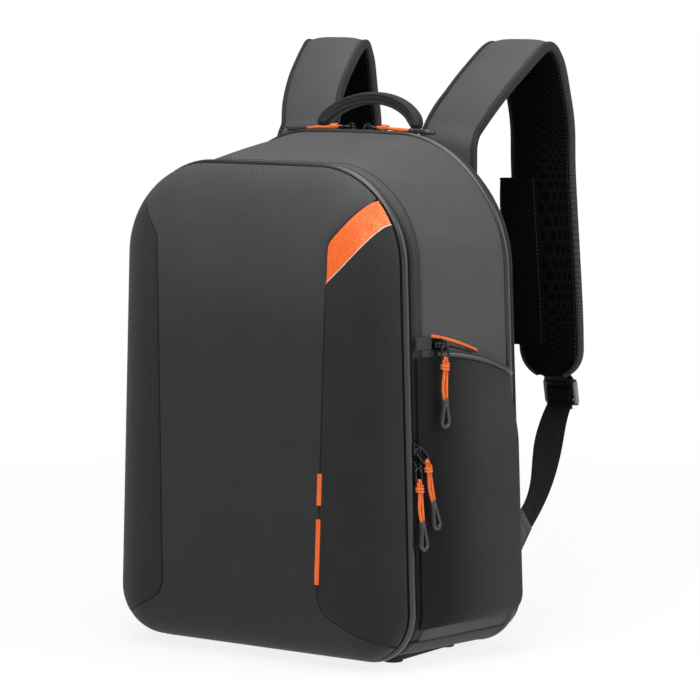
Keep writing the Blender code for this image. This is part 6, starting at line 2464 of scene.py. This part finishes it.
@dataclass
class ZipPulls:
    """The five sliders with their rings, doubled cords and moulded grips."""

    groove: float = 0.0033
    length: float = 0.013
    proud: float = 0.0025
    base: float = 0.0038
    eye_half: float = 0.0019
    wire: float = 0.00092
    cord: float = 0.0015
    cord_length: float = 0.034
    cord_cut: float = 0.071
    collar: float = 0.0038
    collar_thick: float = 0.0024
    collar_long: float = 0.005
    grip_wire: float = 0.002
    grip_half: float = 0.0042
    grip_length: float = 0.021
    front_z: float = 0.183
    top_x: float = 0.0085

    def seats(self, pockets: SidePockets) -> list[Seat]:
        """The five places, as the solids have them.

        Args:
            pockets: The side pockets, for the zip on the right one.

        Returns:
            One seat for each slider.
        """
        join = float(FORM.corners(0.0, 0.0)[6])
        out, up = np.array([math.cos(join), 0, math.sin(join)]), np.array([-math.sin(join), 0, math.cos(join)])
        rear, right, sky = REARWARD, RIGHTWARD, UPWARD
        low_z = self.front_z - self.length - 0.0025
        top_z = FORM.top - FORM.rear.arch * (self.top_x / FORM.rear.half_top) ** 2

        def spot(z: float) -> Array:
            """A place on the front zip's right side."""
            return np.array([float(FORM.side_x(FORM.front_zip, z)), FORM.front_zip, z])

        def lifted(axes: tuple[Array, Array, Array], degrees: float) -> tuple[Array, Array, Array]:
            """Axes swung outwards."""
            a = math.radians(degrees)
            return (axes[0] * math.cos(a) + axes[2] * math.sin(a), axes[1],
                    axes[2] * math.cos(a) - axes[0] * math.sin(a))

        lean = math.radians(4)
        leaning = (out, rear * math.cos(lean) + up * math.sin(lean), up * math.cos(lean) - rear * math.sin(lean))
        y, low, high = (float(v[0]) for v in pockets.zip_lines(np.array([0.12])))
        z = (low + high) / 2
        at = pockets.on_side(np.array([y]), np.array([z]), self.base + 0.001 + 0.0009)[0]
        ends = pockets.on_side(np.array([y - self.length / 2, y + self.length / 2]), np.array([z, z]), 0.0)
        along = unit(ends[1] - ends[0])
        off = np.cross(along, sky)
        return [Seat("front_upper", (out, rear, up), spot(self.front_z), lifted(leaning, 6), False, 0.016,
                     math.radians(41)),
                Seat("front_lower", (out, -rear, -up), spot(low_z), lifted((out, rear, up), 3.5)),
                Seat("top_right", (sky, rear, -right), np.array([self.top_x, FORM.rear_zip, top_z]),
                     lifted((sky, rear, -right), -3)),
                Seat("top_left", (sky, -rear, right), np.array([-self.top_x, FORM.rear_zip, top_z]),
                     lifted((sky, -rear, right), -3)),
                Seat("right_pocket", (off, -sky, along), at, (off, along, sky), True)]

    def build(self, pockets: SidePockets) -> None:
        """Models a slider and its eye once, and a ring, cord and grip for each place.

        Args:
            pockets: The side pockets, for the zip on the right one.
        """
        slider = self.slider()
        bridge = self.bridge()
        for seat in self.seats(pockets):
            place = seat.matrix(seat.axes, seat.at)
            body, pull = f"{seat.name}_slider", f"{seat.name}_pull"
            settle(Bench.copy(slider, f"{seat.name}_slider_plate", place), body, [body], [METAL])
            turn = Matrix.Rotation(math.pi / 2 if seat.eye_turned else 0.0, 4, "X")
            settle(Bench.copy(bridge, f"{seat.name}_slider_bridge", place @ turn), body, [], [METAL])
            eye = seat.at + seat.axes[0] * (self.proud + self.eye_half)
            swing = seat.matrix(seat.pull_axes, eye)
            self.pull(seat, pull, swing)
        for start in (slider, bridge):
            bpy.data.objects.remove(start, do_unlink=True)

    def slider(self) -> Piece:
        """The slider's two plates and their post, drawn with x outwards and z along the zip.

        Returns:
            The piece to copy.
        """
        half = self.groove - 0.0005
        rings = []
        for x, long, wide in ((-self.base, 0.94, 0.92), (-self.base + 0.0005, 1.0, 1.0), (-0.0006, 1.0, 1.0),
                              (-0.0002, 0.86, 0.8), (0.0008, 0.86, 0.8), (0.0012, 0.84, 0.92), (0.0019, 0.82, 0.9),
                              (self.proud, 0.72, 0.74)):
            nose, width = long * self.length / 2, wide * half
            outline = [(-0.62, -1.0), (0.62, -1.0), (0.8, -0.9), (1.0, 0.25), (0.92, 0.7), (0.6, 1.0), (-0.6, 1.0),
                       (-0.92, 0.7), (-1.0, 0.25), (-0.8, -0.9)]
            rings.append([(x, a * width, b * nose) for a, b in outline])
        piece = Bench.loft("slider", np.array(rings))
        Bench.bevel(piece, 0.00025, 2, 35)
        return piece

    def bridge(self) -> Piece:
        """The arched eye on the slider.

        Returns:
            The piece to copy.
        """
        reach = self.eye_half + 0.002
        crest = self.proud + 2 * self.eye_half + 0.0004
        turn = np.linspace(0, math.pi, 40)
        path = np.stack([self.proud - 0.0004 + (crest - self.proud + 0.0008) * np.sin(turn) ** 0.7, 0 * turn,
                         reach * np.cos(turn)], axis=1)
        return Bench.tube("bridge", path, REARWARD, 0.0017, 0.001, oval(12, 4.0))

    def pull(self, seat: Seat, body: str, swing: Matrix) -> None:
        """Ring, cord and grip of one pull, drawn hanging towards -z.

        Args:
            seat: Where the slider sits.
            body: The body that the pull moves with.
            swing: Where the pull hangs.
        """
        wide = self.groove + self.wire
        bend, crown = wide / 2, 0.94 * wide
        corners = [(wide - bend, -seat.ring + bend, -90, bend), (wide - crown, -crown, 0, crown),
                   (-wide + crown, -crown, 90, crown), (-wide + bend, -seat.ring + bend, 180, bend)]
        arcs = [(y, z, size, math.radians(start + a)) for y, z, start, size in corners
                for a in np.linspace(0, 90, 10)]
        ring = np.array([(0.0, y + size * math.cos(turn), z + size * math.sin(turn)) for y, z, size, turn in arcs])
        thick = 2 * self.wire
        piece = Bench.tube(f"{seat.name}_ring", ring, RIGHTWARD, thick, thick, oval(12), loop=True)
        piece.data.transform(swing @ Matrix.Rotation(seat.ring_lean, 4, "X"))
        settle(piece, body, [], [METAL])
        apart = self.cord + 0.0003
        middle = seat.ring * math.sin(seat.ring_lean)
        loop_z = -seat.ring * math.cos(seat.ring_lean) + 0.0002
        fall = np.linspace(1, 0, 30)
        wave = 0.0005 * np.sin(fall * 7.0)
        one = np.stack([wave * 0.5, middle - apart + wave,
                        loop_z - apart - fall * (self.cord_length - apart)], axis=1)
        top = [(0.0, middle + apart * math.cos(a), loop_z - apart + apart * 1.25 * math.sin(a))
               for a in np.linspace(math.pi, 0, 14)[1:-1]]
        two = np.stack([-wave[::-1] * 0.5, middle + apart + wave[::-1], one[::-1, 2]], axis=1)
        path = resampled(np.vstack([one, top, two]), 120)
        thick = 1.72 * self.cord
        cord = Bench.tube(f"{seat.name}_cord", path, RIGHTWARD, thick, thick, oval(12))
        cord.data.transform(swing)
        settle(cord, body, [f"{seat.name}_pull_cord"], [ORANGE_CORD])
        turn = np.linspace(0, 4.4 * math.pi, 90)
        wrap = np.stack([0.0021 * np.cos(turn), middle + 0.0032 * np.sin(turn),
                         loop_z - 0.0042 - 0.0023 * turn / (2 * math.pi)], axis=1)
        hitch = Bench.tube(f"{seat.name}_hitch", wrap, UPWARD, 1.5 * self.cord, 1.5 * self.cord, oval(10))
        hitch.data.transform(swing)
        settle(hitch, body, [], [ORANGE_CORD])
        grip = self.grip(seat.name, middle, loop_z - self.cord_length)
        grip.data.transform(swing)
        settle(grip, body, [f"{seat.name}_pull_grip"], [GRIP])

    def grip(self, name: str, middle: float, top: float) -> Piece:
        """A collar that ends the cord, with a drop-shaped loop below it.

        Args:
            name: Name of the seat.
            middle: Its place across.
            top: Height of the cord's end.

        Returns:
            The new piece.
        """
        start = top + 0.0012
        rings = []
        for share, z in ((0.05, 0.0), (0.72, 0.0001), (0.9, 0.0007), (1.0, 0.002), (0.98, 0.0038), (0.86, 0.0056),
                         (0.7, 0.0066), (0.1, 0.0069)):
            shape = oval(28, 2.4)
            rings.append(np.stack([shape[:, 0] * self.collar_thick * share,
                                   middle + shape[:, 1] * self.collar * share, np.full(28, start - z)], axis=1))
        collar = Bench.loft(f"{name}_grip_collar", np.array(rings))
        high = start - self.collar_long
        turn = np.radians(np.linspace(160, 380, 50))
        round_z = high - self.grip_length + self.collar_long / 2 + self.grip_half
        drop = np.stack([0 * turn, middle + self.grip_half * np.cos(turn),
                         round_z + self.grip_half * np.sin(turn)], axis=1)
        path = np.vstack([[0, middle - 0.0016, high], drop, [0, middle + 0.0016, high]])
        path = resampled(path, 90)
        loop = Bench.tube(f"{name}_grip", path, RIGHTWARD, 2 * self.grip_wire, 1.8 * self.grip_wire, oval(16, 2.5))
        Bench.carve(loop, collar, "UNION")
        return loop


# Studio


@dataclass
class Studio:
    """Camera, lamps and the pale floor."""

    eye: tuple[float, float, float] = (1.627, -2.352545, 0.558)
    aim: tuple[float, float, float] = (0.0362, -0.058045, 0.252)
    lens: float = 171.04
    ground: float = 0.93

    def build(self) -> None:
        """Sets up the view and the light."""
        self.camera()
        self.floor()
        self.lamps()
        scene = bpy.context.scene
        scene.view_settings.view_transform = "Standard"

    def camera(self) -> None:
        """The photograph's view."""
        data = bpy.data.cameras.new("view")
        data.lens = self.lens
        data.sensor_width = 36.0
        camera = bpy.data.objects.new("view", data)
        bpy.context.scene.collection.objects.link(camera)
        camera.location = self.eye
        camera.rotation_euler = (Vector(self.aim) - Vector(self.eye)).to_track_quat("-Z", "Y").to_euler()
        bpy.context.scene.camera = camera

    def floor(self) -> None:
        """A wide pale floor that shows as white to the camera but keeps some shadow."""
        Bench.clear_selection()
        bpy.ops.mesh.primitive_plane_add(size=60.0, location=(0.0, 0.0, -0.0004))
        floor = bpy.context.active_object
        floor.name = "floor"
        graph = Graph("pale_floor")
        graph.paint(Base_Color=(self.ground, self.ground, self.ground), Roughness=0.9, Specular_IOR_Level=0.1)
        path = graph.tree.nodes.new("ShaderNodeLightPath")
        seen = Value(graph, path.outputs["Is Camera Ray"]).most(Value(graph, path.outputs["Is Glossy Ray"]))
        seen = seen.most(Value(graph, path.outputs["Is Transmission Ray"]))
        glow = graph.node("ShaderNodeEmission", {}, {"Color": (1.0, 1.0, 1.0), "Strength": 1.0})
        x, y, _ = graph.axes("Object")
        far = (x * x + y * y).root().band(0.45, 1.3)
        matte = Value(graph, graph.shader.outputs[0])
        joined = graph.node("ShaderNodeMixShader", {}, {0: seen * (far * 0.15 + 0.85), 1: matte, 2: glow})
        graph.feed(graph.tree.nodes["Material Output"].inputs["Surface"], joined)
        floor.data.materials.append(graph.material)

    def lamps(self) -> None:
        """A broad top light, a soft front light and an even surround."""
        world = bpy.data.worlds.new("surround")
        bpy.context.scene.world = world
        world.use_nodes = True
        tree = world.node_tree
        ground = tree.nodes["Background"]
        ground.inputs["Color"].default_value = (1.0, 1.0, 1.0, 1.0)
        ground.inputs["Strength"].default_value = 0.2
        seen = tree.nodes.new("ShaderNodeBackground")
        seen.inputs["Color"].default_value = (1.0, 1.0, 1.0, 1.0)
        seen.inputs["Strength"].default_value = 1.0
        path = tree.nodes.new("ShaderNodeLightPath")
        choice = tree.nodes.new("ShaderNodeMixShader")
        tree.links.new(path.outputs["Is Camera Ray"], choice.inputs[0])
        tree.links.new(ground.outputs[0], choice.inputs[1])
        tree.links.new(seen.outputs[0], choice.inputs[2])
        tree.links.new(choice.outputs[0], tree.nodes["World Output"].inputs["Surface"])
        self.lamp("top_light", (0.0, 0.0, 2.1), (0.0, -0.02, 0.3), 1.5, 26.5)
        self.lamp("key_light", (0.25, -0.75, 1.05), (0.02, -0.15, 0.3), 0.7, 8.0)
        self.lamp("side_light", (2.2, 0.7, 1.3), (0.05, 0.1, 0.3), 1.4, 26.0)

    @staticmethod
    def lamp(name: str, at: tuple[float, float, float], aim: tuple[float, float, float], size: float,
             power: float) -> None:
        """One square soft light.

        Args:
            name: Name of the lamp.
            at: Its place.
            aim: What it shines on.
            size: Length of its side.
            power: Its power in watts.
        """
        data = bpy.data.lights.new(name, "AREA")
        data.size = size
        data.energy = power
        lamp = bpy.data.objects.new(name, data)
        bpy.context.scene.collection.objects.link(lamp)
        lamp.location = at
        lamp.rotation_euler = (Vector(aim) - Vector(at)).to_track_quat("-Z", "Y").to_euler()


def main() -> None:
    """Builds the bag in order."""
    logging.basicConfig(level=logging.INFO, format="%(name)s %(message)s")
    Studio().build()
    FrontShell().build()
    PackBody().build()
    pockets = SidePockets()
    pockets.build()
    BackPanel().build()
    straps = ShoulderStraps()
    straps.build()
    GrabHandle().build()
    LadderLocks().build(straps)
    ZipPulls().build(pockets)


if __name__ == "__main__":
    main()
